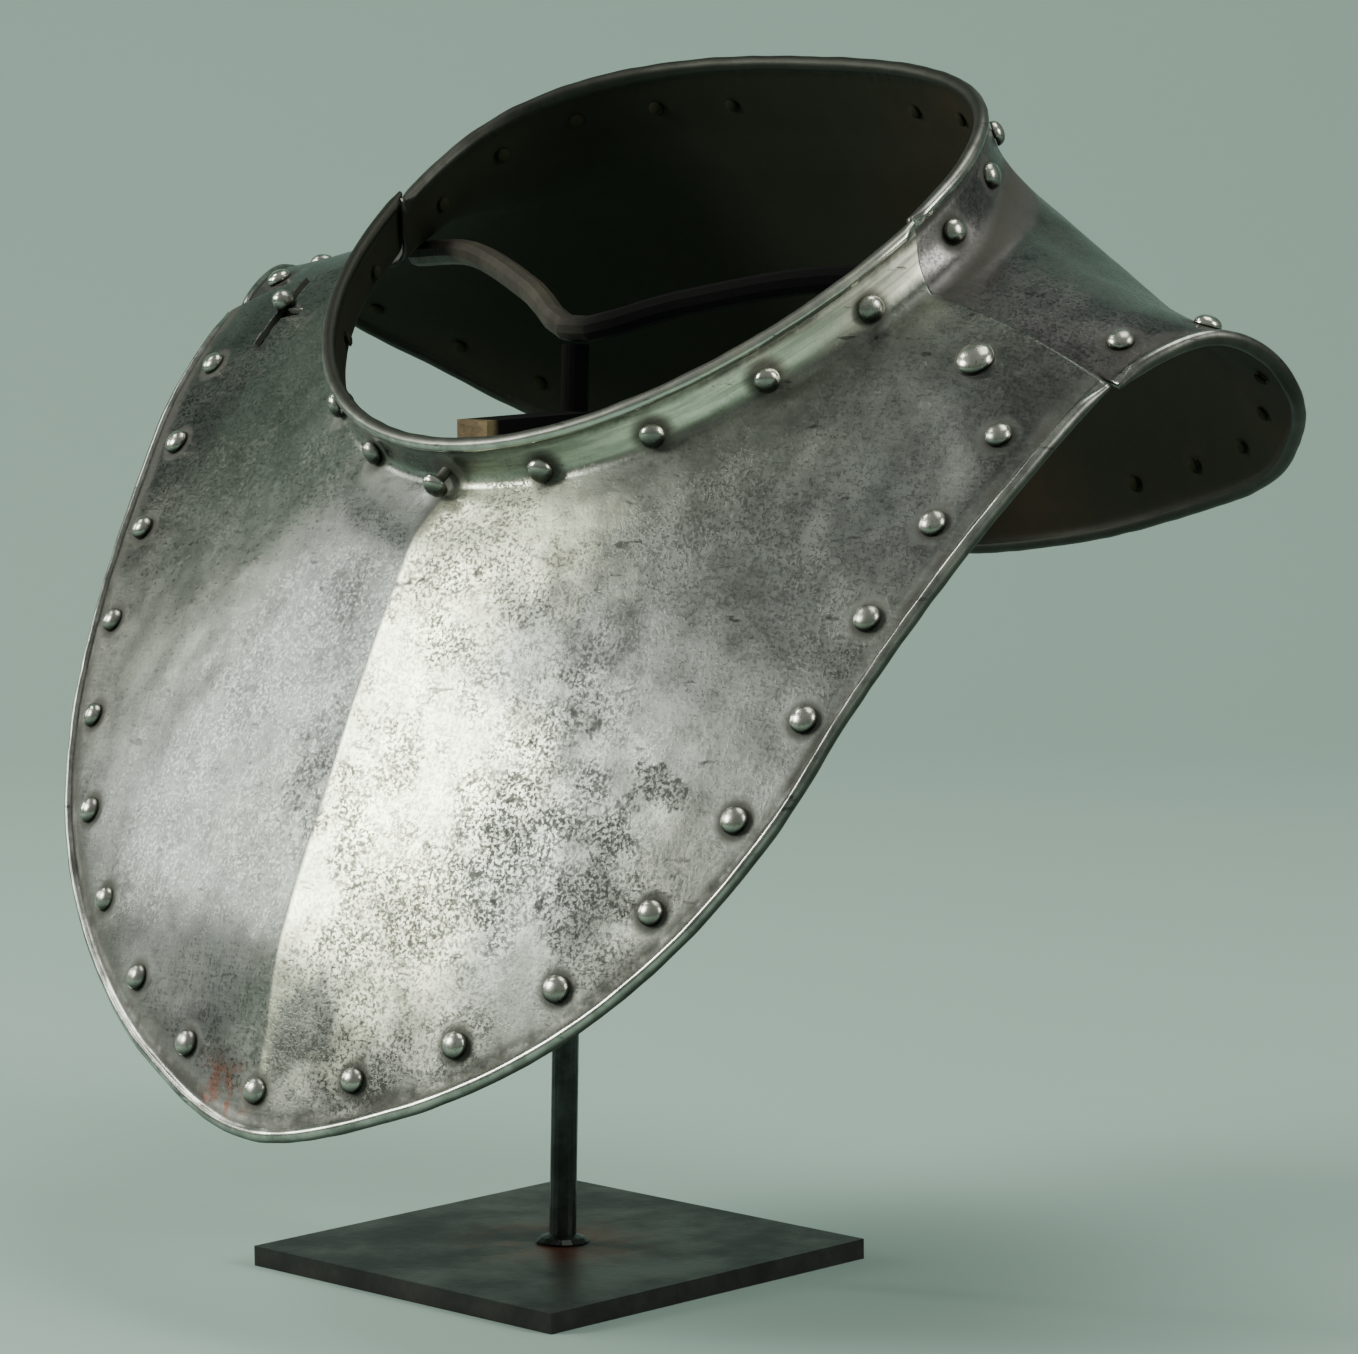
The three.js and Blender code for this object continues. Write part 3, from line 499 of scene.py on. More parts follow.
def plate_loops(start, end, inset):
    """The plate's section loops of outer face, rolled edges and inner face, with each point's distances
    to rim and edge in mm, and which side it is on."""
    sections = PLATE_COLUMNS + 1
    across = np.concatenate([np.linspace(*rows) for rows in ACROSS_ROWS])
    share = np.linspace(0, 1, sections)
    start_tip, end_tip = start(np.array([1.0])), end(np.array([1.0]))
    tip_place = start_tip + (end_tip - start_tip) * share
    taper = smooth(0, ROLL_TAPER, np.minimum(tip_place - start_tip, end_tip - tip_place))
    rim, foot, _, _, _, length, _ = section(tip_place)
    collar_length = length_of(rim - foot)
    scale = 1 - ROLL_REACH / np.where(across[None, :] < 0, collar_length, length)
    rows = across[None, :] * scale

    def place_at(value):
        low, high = start(value.ravel()).reshape(value.shape), end(value.ravel()).reshape(value.shape)
        return low + (high - low) * share[:, None]

    places = place_at(rows)
    outer, inner = shell(places, rows, inset), shell(places, rows, inset + WALL)

    def roll(side, angles):
        tip_row = np.full((sections, 1), float(side))
        beside = tip_row * (1 - ROLL_REACH / (collar_length if side < 0 else length))
        normal = outwards(place_at(tip_row), tip_row)
        tip = shell(place_at(tip_row), tip_row, inset + WALL / 2)
        away = unit(tip - shell(place_at(beside), beside, inset + WALL / 2))
        radius = (WALL / 2 + (ROLL_RADIUS - WALL / 2) * taper)[:, None, None]
        turn = np.radians(np.array(angles))[None, :, None]
        return tip + away * radius * (np.cos(turn) - 1) + normal * radius * np.sin(turn)

    rim_roll, edge_roll = roll(-1, ROLL_ARC[::-1]), roll(1, ROLL_ARC)
    arc_size = len(ROLL_ARC)
    loops = np.concatenate([rim_roll, outer, edge_roll, inner[:, ::-1]], 1)
    to_edge = np.concatenate([
        np.broadcast_to(length, (sections, arc_size)), (1 - np.maximum(rows, 0)) * length,
        np.zeros((sections, arc_size)), ((1 - np.maximum(rows, 0)) * length)[:, ::-1]], 1)
    on_collar = (1 + np.minimum(rows, 0)) * collar_length + np.maximum(rows, 0) * length
    to_rim = np.concatenate([
        np.zeros((sections, arc_size)), on_collar,
        np.broadcast_to(length + collar_length, (sections, arc_size)), on_collar[:, ::-1]], 1)
    inside = np.concatenate([np.zeros(arc_size + len(across)), np.zeros(arc_size), np.ones(len(across))])
    lap = (front_end(rows) - np.minimum(places, 2 * BACK_CENTRE - places)) * per_place(places, rows)
    rolled = smooth(*TURNED_UNDER, -np.array(ROLL_ARC))
    under = np.concatenate([rolled[::-1], np.zeros(len(across)), rolled, np.ones(len(across))])
    covered = np.zeros(to_edge.shape)
    if inset:
        covered[:, arc_size:arc_size + len(across)] = smooth(*COVERED_RANGE, lap)
    layers = {"to_edge": to_edge, "to_rim": to_rim, "inside": np.broadcast_to(inside, to_edge.shape),
              "under": np.broadcast_to(under, to_edge.shape), "covered": covered}
    return loops, layers


TILT = Matrix.Rotation(math.radians(SIDE_TILT), 4, "Y")


def node_points(node):
    """A CAD node's points in the gorget's own frame, in mm."""
    back = TILT.inverted()
    return np.array([(back @ v.co) / MM for v in node.data.vertices])


def axis_of(points):
    """Centre and direction of a turned piece's axis, towards its wide head."""
    centre = points.mean(0)
    _, sizes, axes = np.linalg.svd(points - centre, full_matrices=False)
    gaps = [abs(sizes[1] - sizes[2]), abs(sizes[0] - sizes[2]), abs(sizes[0] - sizes[1])]
    axis = axes[int(np.argmin(gaps))]
    along = (points - centre) @ axis
    radius = np.linalg.norm(points - centre - along[:, None] * axis, axis=1)
    if along[radius > radius.max() * WIDEST].mean() < 0:
        axis, along = -axis, -along
    seat = along[radius > radius.max() * WIDEST].mean()
    return centre, axis, seat, radius.max(), along.max() - seat, along.min()


def mesh_of(name, points, faces, smooth_faces=True):
    """An object from points in the gorget's frame, in mm."""
    mesh = bpy.data.meshes.new(name)
    mesh.from_pydata([TILT @ (Vector(p) * MM) for p in points], [], faces)
    mesh.update()
    mesh.polygons.foreach_set("use_smooth", [smooth_faces] * len(mesh.polygons))
    obj = bpy.data.objects.new(name, mesh)
    bpy.context.scene.collection.objects.link(obj)
    return obj


def add_layer(obj, name, values):
    layer = obj.data.attributes.new(name, "FLOAT", "POINT")
    layer.data.foreach_set("value", np.asarray(values, np.float32).ravel())


def plate_object(name, start, end, inset, rivets):
    loops, layers = plate_loops(start, end, inset)
    to_edge, to_rim = layers["to_edge"], layers["to_rim"]
    count, size = loops.shape[:2]
    outward = unit(np.roll(loops, -1, 1) - np.roll(loops, 1, 1))
    around = unit(np.gradient(loops, axis=0))
    outward = unit(np.cross(outward, around))
    wave = np.zeros((count, size))
    for index in range(count):
        for corner in range(size):
            spot = Vector(loops[index, corner])
            wave[index, corner] = (
                DENT_DEPTH * noise.noise(spot / DENT_SIZE) + HAMMER_DEPTH * noise.noise(spot / HAMMER_SIZE))
            near_rim = min(to_edge[index, corner], to_rim[index, corner]) < ROLL_REACH
            if near_rim:
                wave[index, corner] = RIM_DEPTH * noise.noise(spot / RIM_SIZE)
    hold = np.minimum(1, np.minimum(np.arange(count), np.arange(count)[::-1]) / FLAT_COLUMNS)[:, None]
    outer_sign = np.where(layers["inside"] > 0, -1.0, 1.0)
    loops = loops + outward * (wave * hold * outer_sign)[..., None]
    points = loops.reshape(-1, 3)
    corners = np.arange(size)
    following = (corners + 1) % size
    faces = []
    for index in range(count - 1):
        low, high = index * size, (index + 1) * size
        for a, b in zip(corners, following):
            faces.append((low + a, low + b, high + b, high + a))
    faces += [face[::-1] for face in end_cap(size)]
    faces += [tuple((count - 1) * size + corner for corner in face) for face in end_cap(size)]
    obj = mesh_of(name, points, faces)
    distance = np.full(len(points), FAR_FROM_RIVETS)
    for centre, axis in rivets:
        away = points - centre
        away = away - (away @ axis)[:, None] * axis
        close = np.linalg.norm(points - centre, axis=1) < RIVET_REACH
        distance = np.where(close, np.minimum(distance, np.linalg.norm(away, axis=1)), distance)
    for layer, values in layers.items():
        add_layer(obj, layer, values)
    add_layer(obj, "to_rivet", distance)
    add_layer(obj, "from_ridge", points[:, 0])
    add_layer(obj, "height", points[:, 2])
    return obj


def slot_cutter():
    """The cutter of the keyhole slot on the wearer's right shoulder, open at the plate's back edge."""
    pivot = face(np.array(PIVOT_PLACE), np.array(PIVOT_ACROSS))
    stud = face(np.array(-STUD_PLACE), np.array(STUD_ACROSS))
    turning = outwards(np.array(PIVOT_PLACE), np.array(PIVOT_ACROSS))
    normal = outwards(np.array(-STUD_PLACE), np.array(STUD_ACROSS))
    leaving = -np.cross(turning, stud - pivot)
    leaving = unit(leaving - normal * (leaving @ normal))
    across = np.cross(leaving, normal)
    rng = random.Random(SEED)

    def side(half, top, bottom):
        share = [step / SLOT_STEPS for step in range(SLOT_STEPS + 1)]
        return [(half + rng.uniform(-1, 1) * SLOT_WANDER, top + (bottom - top) * part) for part in share]

    outline = [(SLOT_HALF, SLOT_BACK), (-SLOT_HALF, SLOT_BACK)] + side(-SLOT_HALF, SLOT_SEEN, -SLOT_FORE)
    for step in range(1, SLOT_ROUND):
        angle = math.pi + math.pi * step / SLOT_ROUND
        outline.append((SLOT_HALF * math.cos(angle), -SLOT_FORE + SLOT_HALF * math.sin(angle)))
    outline += side(SLOT_HALF, -SLOT_FORE, -NOTCH_BELOW)
    outline += [
        (NOTCH_REACH, -NOTCH_BELOW * NOTCH_SLANT),
        (NOTCH_REACH, -NOTCH_ABOVE),
        (SLOT_HALF, -NOTCH_ABOVE * NOTCH_SLANT),
    ]
    count = len(outline)
    points = [stud + across * x + leaving * y + normal * z for z in SLOT_DEPTHS for x, y in outline]
    faces = [tuple(range(count))[::-1], tuple(range(count, 2 * count))]
    faces += [(i, (i + 1) % count, count + (i + 1) % count, count + i) for i in range(count)]
    cutter = mesh_of("slot_cutter", points, faces, False)
    for layer, value in SLOT_LAYERS.items():
        add_layer(cutter, layer, [value] * len(points))
    return cutter


def cut_slot(plate):
    cutter = slot_cutter()
    modifier = plate.modifiers.new("slot", "BOOLEAN")
    modifier.operation, modifier.solver, modifier.object = "DIFFERENCE", "EXACT", cutter
    evaluated = plate.evaluated_get(bpy.context.evaluated_depsgraph_get())
    cut = bpy.data.meshes.new_from_object(evaluated)
    plate.modifiers.remove(modifier)
    plate.data = cut
    bpy.data.objects.remove(cutter)


def turned(name, centre, axis, profile, sides):
    """A turned piece: profile is a list of (radius, height along the axis from centre)."""
    turn = Vector(axis).to_track_quat("Z", "Y").to_matrix()
    points, faces = [], []
    for radius, height in profile:
        for side in range(sides):
            angle = math.tau * side / sides
            spot = Vector((radius * math.cos(angle), radius * math.sin(angle), height))
            points.append(Vector(centre) + turn @ spot)
    for ring in range(len(profile) - 1):
        for side in range(sides):
            ahead = (side + 1) % sides
            low, high = ring * sides, (ring + 1) * sides
            faces.append((low + side, low + ahead, high + ahead, high + side))
    faces.append(tuple(range(sides))[::-1])
    faces.append(tuple(range((len(profile) - 1) * sides, len(profile) * sides)))
    return mesh_of(name, points, faces)


def rivet_profile(seat, radius, rise, low):
    """The profile of a rivet from its tail to the top of its domed head."""
    tail = radius * TAIL_SHARE
    profile = [(tail * share, low + up) for share, up in TAIL_PROFILE]
    profile += [(radius * SHANK_SHARE, low + SHANK_START), (radius * SHANK_SHARE, seat - HEAD_SKIRT)]
    profile.append((radius, seat - HEAD_SKIRT))
    for step in range(DOME_STEPS + 1):
        angle = math.pi / 2 * step / DOME_STEPS
        profile.append((radius * math.cos(angle) ** DOME_POWER + DOME_FLAT, seat + rise * math.sin(angle)))
    return profile


class Nodes:
    """A small helper that adds shader nodes and joins them."""

    def __init__(self, tree):
        self.tree = tree

    def add(self, kind, inputs=None, **settings):
        node = self.tree.nodes.new(kind)
        for name, value in settings.items():
            setattr(node, name, value)
        for socket, value in (inputs or {}).items():
            self.put(node.inputs[socket], value)
        return node

    def put(self, socket, value):
        if isinstance(value, bpy.types.NodeSocket):
            self.tree.links.new(value, socket)
        else:
            socket.default_value = value

    def math(self, operation, a, b=0.0, clamp=False):
        node = self.add("ShaderNodeMath", operation=operation, use_clamp=clamp)
        self.put(node.inputs[0], a)
        self.put(node.inputs[1], b)
        return node.outputs[0]

    def product(self, first, *others):
        for other in others:
            first = self.math("MULTIPLY", first, other)
        return first

    def rest(self, value, amount=1.0):
        """1 less the given amount of a value."""
        return self.math("SUBTRACT", 1.0, self.math("MULTIPLY", value, amount))

    def distance(self, place, across, up):
        spot = {0: place, 1: (across, up, 0)}
        return self.add("ShaderNodeVectorMath", spot, operation="DISTANCE").outputs["Value"]

    def layer(self, name):
        return self.add("ShaderNodeAttribute", attribute_name=name).outputs["Fac"]

    def noise(self, scale, detail, roughness, place):
        inputs = {"Scale": scale, "Detail": detail, "Roughness": roughness, "Vector": place}
        return self.add("ShaderNodeTexNoise", inputs).outputs["Fac"]

    def pattern(self, name, place):
        """A random pattern from the table."""
        return self.noise(*PATTERNS[name], place)

    def span(self, value, name):
        """A value through one of the ranges in the table."""
        return self.ramp(value, *RAMPS[name])

    def ramp(self, value, low, high, to_low=0.0, to_high=1.0):
        node = self.add("ShaderNodeMapRange", {
            "Value": value, "From Min": low, "From Max": high, "To Min": to_low, "To Max": to_high},
            interpolation_type="SMOOTHSTEP")
        return node.outputs["Result"]

    def mix(self, share, a, b):
        node = self.add("ShaderNodeMix", data_type="RGBA")
        self.put(node.inputs["Factor"], share)
        for name, value in (("A", a), ("B", b)):
            sockets = [s for s in node.inputs if s.name == name and s.type == "RGBA"]
            self.put(sockets[0], value)
        return [s for s in node.outputs if s.type == "RGBA"][0]

    def blend(self, share, a, b):
        node = self.add("ShaderNodeMix", data_type="FLOAT")
        self.put(node.inputs["Factor"], share)
        self.put(node.inputs["A"], a)
        self.put(node.inputs["B"], b)
        return node.outputs["Result"]


def material(name):
    made = bpy.data.materials.new(name)
    made.use_nodes = True
    made.node_tree.nodes.clear()
    nodes = Nodes(made.node_tree)
    shader = nodes.add("ShaderNodeBsdfPrincipled")
    output = nodes.add("ShaderNodeOutputMaterial")
    made.node_tree.links.new(shader.outputs[0], output.inputs["Surface"])
    return made, nodes, shader


def plate_steel(name, dark, bright, polish, rim_sheen_amount):
    """Patinated plate: dark tarnish, a brighter worn area that is also a painted highlight, pits, brushing,
    worn rims with painted highlight and shade, dirt, and painted shade in hollows and inside.
    """
    made, n, shader = material(name)
    place = n.add("ShaderNodeTexCoord").outputs["Object"]
    to_edge, to_rim, to_rivet = n.layer("to_edge"), n.layer("to_rim"), n.layer("to_rivet")
    from_ridge, height, inside = n.layer("from_ridge"), n.layer("height"), n.layer("inside")

    # Bright area on the wearer's left of the ridge, with a broken border: worn steel that also serves as a
    # painted highlight.
    cloud = n.pattern("cloud", place)
    border = n.math("ADD", from_ridge, n.span(cloud, "worn_lit_wander"))
    lit = n.product(n.span(from_ridge, "ridge_line"), n.span(border, "worn_lit_outer"))
    lit = n.product(lit, n.span(height, "worn_lit_top"))
    lit = n.product(lit, n.span(n.math("ADD", height, n.span(cloud, "foot_wander")), "worn_lit_foot"))
    chart = n.add("ShaderNodeCombineXYZ", {"X": from_ridge, "Y": height}).outputs[0]
    broken = n.pattern("broken", place)

    def beyond(across, up, inner, outer):
        away = n.distance(chart, across, up)
        away = n.math("ADD", away, n.ramp(broken, *BROKEN_RANGE, -outer / 4, outer / 4))
        return n.ramp(away, inner, outer)

    lit = n.product(lit, n.product(beyond(*SMOOTH_PATCH), polish))
    haze = n.pattern("haze", place)
    along_rim = n.add("ShaderNodeCombineXYZ", {
        "X": n.product(from_ridge, STREAK_ALONG),
        "Y": n.product(to_rim, STREAK_ACROSS),
    }).outputs[0]
    streak = n.pattern("streak", along_rim)
    # The collar band: polished, and brightened further towards the wearer's left as a painted reflection,
    # broken by streaks.
    on_collar = n.product(n.span(to_rim, "collar_band"), polish)
    leftward = n.product(n.span(from_ridge, "collar_worn_sheen"), n.span(streak, "collar_streaks"))
    collar = n.product(on_collar, leftward)
    tone = n.blend(lit, n.product(n.span(haze, "haze"), AMOUNTS["haze"]), 1.0)
    tone = n.math("MAXIMUM", tone, collar)
    bright = n.mix(collar, bright, COLLAR_BRIGHT)

    # Rolled rims worn bright, with a painted highlight kept only where light falls on them and painted shade
    # elsewhere; dirt and painted shade in the groove beside them.
    near = n.math("MINIMUM", to_edge, to_rim)
    rim = n.span(near, "rim")
    worn = n.span(n.pattern("rim_worn", place), "rim_worn")
    # Painted highlight on the rims: it fades along the neck rim towards the wearer's right, and on the back
    # plate it stays only near the seam.
    at_neck = n.span(to_rim, "at_neck")
    shaded = n.product(at_neck, n.span(from_ridge, "neck_shaded"))
    rim_sheen = n.product(n.rest(shaded), rim_sheen_amount)
    if not polish:
        backward = n.add("ShaderNodeSeparateXYZ", {"Vector": place}).outputs["Y"]
        rim_sheen = n.ramp(backward, *BACK_RIM_HIGHLIGHT, 1.0, rim_sheen_amount)
    dirt_and_shade_noise = n.span(n.pattern("dirt_and_shade", place), "dirt_and_shade")
    # Dirt and painted shade in the groove beside each rolled edge.
    by_edge = n.product(n.span(to_edge, "edge_groove_in"), n.span(to_edge, "edge_groove_out"))
    by_rim = n.product(n.span(to_rim, "rim_groove_in"), n.span(to_rim, "rim_groove_out"))
    groove = n.math("MAXIMUM", by_edge, by_rim)
    spread = n.math("ADD", AMOUNTS["dirt_and_shade_base"], n.product(dirt_and_shade_noise, AMOUNTS["dirt_and_shade_noise"]))
    dirt_and_shade = n.math("MULTIPLY", groove, spread, True)
    # Painted shade in a band just below the collar's foot, broken up on the front plate.
    foot = n.product(n.span(to_rim, "foot_in"), n.span(to_rim, "foot_out"))
    if polish:
        foot = n.product(foot, n.product(n.span(from_ridge, "foot_side"), dirt_and_shade_noise))
    dirt_and_shade = n.math("MAXIMUM", dirt_and_shade, foot)
    # Painted shadow in a ring round each rivet head.
    ring = n.product(n.span(to_rivet, "rivet_ring"), AMOUNTS["rivet_ring"])
    dirt_and_shade = n.math("MAXIMUM", dirt_and_shade, ring)

    # Stained patches, and pits: fine specks gathered in clusters, denser in the bright area.
    wobble = n.ramp(broken, *BROKEN_RANGE, -STAIN_WOBBLE, STAIN_WOBBLE)
    stained = 0.0
    for across, up, radius, strength in STAINS:
        away = n.distance(chart, across, up)
        patch = n.ramp(n.math("ADD", away, wobble), radius * STAIN_CORE, radius * STAIN_REACH, strength, 0.0)
        stained = n.math("MAXIMUM", stained, patch)
    stained = n.product(stained, polish, n.rest(inside))
    cluster = n.span(n.pattern("cluster", place), "cluster")
    pitted = n.product(n.span(from_ridge, "pitted_ridge"), n.span(border, "pitted_outer"))
    cluster = n.product(cluster, n.blend(n.product(pitted, polish), STAINED_PITS, 1.0))
    cluster = n.math("MAXIMUM", cluster, stained)
    speck = n.span(n.pattern("speck", place), "speck")
    blot = n.span(n.pattern("blot", place), "blot")
    gathered = n.math("ADD", n.product(cluster, AMOUNTS["speck_cluster"]), AMOUNTS["speck_base"])
    blots = n.product(blot, n.math("ADD", cluster, AMOUNTS["blot_base"]))
    pits = n.math("MAXIMUM", n.product(speck, gathered), blots, True)
    pits = n.product(pits, n.span(near, "clear_of_rim"))
    pits = n.product(pits, n.blend(on_collar, 1.0, AMOUNTS["collar_pits"]))

    # Fine brushing, two ways.
    brush_map = {"Vector": place, "Scale": BRUSH_SCALE, "Rotation": BRUSH_TURN}
    cross_map = {"Vector": place, "Scale": CROSS_SCALE, "Rotation": CROSS_TURN}
    brush, cross = (n.pattern("brush", n.add("ShaderNodeMapping", given).outputs[0])
                    for given in (brush_map, cross_map))
    scratch = n.math("ADD", brush, cross)

    body = n.mix(tone, dark, bright)
    border_shade = n.span(n.math("ADD", to_edge, n.span(cloud, "shade_wander")), "border_shade")
    side_shade = n.span(from_ridge, "side_shade")
    shade = n.product(border_shade, side_shade)
    mottle = n.span(n.pattern("mottle", place), "mottle")
    shade = n.product(shade, mottle)
    shade = n.product(shade, n.rest(stained, STAIN_SHADE))
    streaked = n.product(n.span(streak, "streak_shade"), n.span(from_ridge, "collar_shade"))
    shade = n.blend(on_collar, shade, streaked)
    # Painted shade darkens the rims where their painted highlight is not kept.
    shaded_rim = n.product(n.span(near, "shaded_rim"), n.rest(rim_sheen))
    shade = n.product(shade, n.rest(shaded_rim, AMOUNTS["shaded_rim"]))
    body = n.mix(n.rest(shade), body, COLOURS["black"])
    body = n.mix(n.product(n.span(scratch, "scratch"), AMOUNTS["scratch"]), body, COLOURS["scratch"])
    rim_tone = n.product(rim, rim_sheen, n.blend(worn, *RIM_POLISH))
    body = n.mix(rim_tone, body, RIM_BRIGHT)
    body = n.mix(n.product(pits, AMOUNTS["pits"]), body, COLOURS["pit"])
    fleck_map = n.add("ShaderNodeMapping", {"Vector": place, "Scale": FLECK_SCALE}).outputs[0]
    fleck = n.span(n.pattern("fleck", fleck_map), "fleck")
    body = n.mix(n.product(fleck, AMOUNTS["fleck"]), body, COLOURS["fleck"])
    body = n.mix(n.product(dirt_and_shade, AMOUNTS["dirt_and_shade"]), body, COLOURS["dirt_and_shade"])
    rust_spot = n.product(n.span(n.pattern("rust", place), "rust"), n.rest(beyond(*RUSTY_PATCH)))
    body = n.mix(n.product(rust_spot, AMOUNTS["rust"]), body, COLOURS["rust"])
    # Painted shade on the turned-under side of each rolled edge.
    rolled_under_shade = n.product(n.layer("under"), n.span(near, "rolled_under_shade"))
    body = n.mix(n.product(rolled_under_shade, AMOUNTS["rolled_under_shade"]), body, COLOURS["rolled_under_shade"])
    # Painted shade: the inner face, the cut walls and the covered lap turn near-black and dull, with stains
    # on the inner face.
    inner_shade = n.math("MAXIMUM", n.product(inside, n.span(near, "inner_shade")), n.layer("covered"))
    stain = n.product(n.span(n.pattern("stain", place), "stain"), n.span(from_ridge, "stain_side"))
    inner = n.mix(n.product(stain, AMOUNTS["stain"]), COLOURS["inner"], COLOURS["stain"])
    body = n.mix(inner_shade, body, inner)
    n.put(shader.inputs["Base Color"], body)

    metal = n.rest(n.math("MAXIMUM", dirt_and_shade, pits), AMOUNTS["dull_metal"])
    metal = n.product(metal, n.rest(inner_shade, AMOUNTS["inner_shade_metal"]))
    n.put(shader.inputs["Metallic"], metal)
    rough = n.blend(tone, PLATE_ROUGHNESS, WORN_ROUGHNESS)
    brushed = n.product(n.math("SUBTRACT", scratch, 1.0), AMOUNTS["scratch_rough"])
    rough = n.math("ADD", rough, brushed)
    rough = n.blend(rim, rough, n.blend(rim_sheen, *RIM_ROUGHNESS))
    rough = n.blend(rolled_under_shade, rough, UNDER_ROUGHNESS)
    rough = n.blend(n.math("MAXIMUM", n.math("MAXIMUM", dirt_and_shade, pits), inner_shade), rough, DIRT_ROUGHNESS)
    n.put(shader.inputs["Roughness"], rough)

    lumps = n.pattern("lumps", place)
    relief = n.product(lumps, AMOUNTS["lump_relief"])
    relief = n.math("ADD", relief, n.product(scratch, AMOUNTS["scratch_relief"]))
    relief = n.math("SUBTRACT", relief, n.product(pits, AMOUNTS["pit_relief"]))
    relief = n.math("SUBTRACT", relief, n.product(groove, AMOUNTS["groove_relief"]))
    bump = n.add("ShaderNodeBump", {"Strength": RELIEF_STRENGTH, "Distance": RELIEF_DEPTH, "Height": relief})
    n.put(shader.inputs["Normal"], bump.outputs[0])
    n.put(shader.inputs["Specular IOR Level"], n.blend(inner_shade, *INNER_SHADE_GLOSS))
    return made


def simple_steel(name, dark, bright, rough, metal, patch_scale, bump, rust=0.0, shade=None, underside=0.0):
    """Rivets and stand: one mottled metal, with painted shade on undersides, rivet tails and shaded parts of
    the stand.
    """
    made, n, shader = material(name)
    place = n.add("ShaderNodeTexCoord").outputs["Object"]
    patch = n.span(n.noise(patch_scale, PATCH_DETAIL, PATCH_ROUGHNESS, place), "patch")
    fine = n.noise(patch_scale * SPOT_SHARE, SPOT_DETAIL, SPOT_ROUGHNESS, place)
    body = n.mix(patch, dark, bright)
    body = n.mix(n.product(n.span(fine, "fine_spots"), SPOT_AMOUNT), body, COLOURS["spot"])
    if rust:
        from_weld = n.add("ShaderNodeVectorMath", {0: place}, operation="LENGTH").outputs["Value"]
        around_weld = n.span(from_weld, "weld_ring")
        broken = n.span(n.pattern("weld_rust", place), "weld_rust")
        stain = n.product(around_weld, broken, rust)
        body = n.mix(stain, body, COLOURS["base_rust"])
    # Painted shade: rivet tails inside the plates, and the parts of the stand within their shade band, turn
    # near-black and dull.
    in_shade, shade_colour = n.layer("inside"), COLOURS["tail"]
    if shade:
        axis, start, end = shade
        in_shade = n.ramp(n.add("ShaderNodeSeparateXYZ", {"Vector": place}).outputs[axis], start, end)
        shade_colour = COLOURS["in_shade"]
    # Painted shade on faces that look downward.
    facing = n.add("ShaderNodeSeparateXYZ", {"Vector": n.add("ShaderNodeNewGeometry").outputs["Normal"]})
    body = n.mix(n.ramp(facing.outputs["Z"], *DOWNWARD, underside, 0.0), body, COLOURS["underside"])
    body = n.mix(in_shade, body, shade_colour)
    n.put(shader.inputs["Base Color"], body)
    n.put(shader.inputs["Metallic"], n.product(n.rest(in_shade), metal))
    rough = n.blend(patch, rough + DARK_ROUGHER, rough - BRIGHT_SMOOTHER)
    n.put(shader.inputs["Roughness"], n.blend(in_shade, rough, HIDDEN_ROUGHNESS))
    n.put(shader.inputs["Specular IOR Level"], n.blend(in_shade, *HIDDEN_GLOSS))
    bumps = n.add("ShaderNodeBump", {"Strength": SPOT_STRENGTH, "Distance": bump, "Height": fine})
    n.put(shader.inputs["Normal"], bumps.outputs[0])
    return made


def paint(obj, made):
    obj.data.materials.clear()
    obj.data.materials.append(made)


def add_light(name, azimuth, elevation, distance, width, height, power):
    """A softbox round the object, aimed at the gorget's middle."""
    aim = Vector(LIGHTS_AIM)
    a, e = math.radians(azimuth), math.radians(elevation)
    away = Vector((math.sin(a) * math.cos(e), -math.cos(a) * math.cos(e), math.sin(e)))
    data = bpy.data.lights.new(name, "AREA")
    data.shape = "RECTANGLE"
    data.size, data.size_y = width, height
    data.energy, data.color = power, LIGHT_TINT
    obj = bpy.data.objects.new(name, data)
    obj.location = aim + away * distance
    obj.rotation_mode = "QUATERNION"
    obj.rotation_quaternion = (-away).to_track_quat("-Z", "Y")
    bpy.context.scene.collection.objects.link(obj)


def add_camera():
    a, e, r = (math.radians(x) for x in (CAMERA_AZIMUTH, CAMERA_ELEVATION, CAMERA_ROLL))
    back = Vector((math.sin(a) * math.cos(e), -math.cos(a) * math.cos(e), math.sin(e)))
    level = Vector((math.cos(a), math.sin(a), 0))
    under = (-back).cross(level)
    right = level * math.cos(r) + under * math.sin(r)
    up = level * math.sin(r) - under * math.cos(r)
    data = bpy.data.cameras.new("camera")
    data.lens, data.sensor_width = CAMERA_LENS, CAMERA_SENSOR
    data.clip_start, data.clip_end = CAMERA_CLIP
    data.dof.use_dof = False
    obj = bpy.data.objects.new("camera", data)
    matrix = Matrix((right, up, back)).transposed().to_4x4()
    matrix.translation = CAMERA_PLACE
    obj.matrix_world = matrix
    bpy.context.scene.collection.objects.link(obj)
    bpy.context.scene.camera = obj


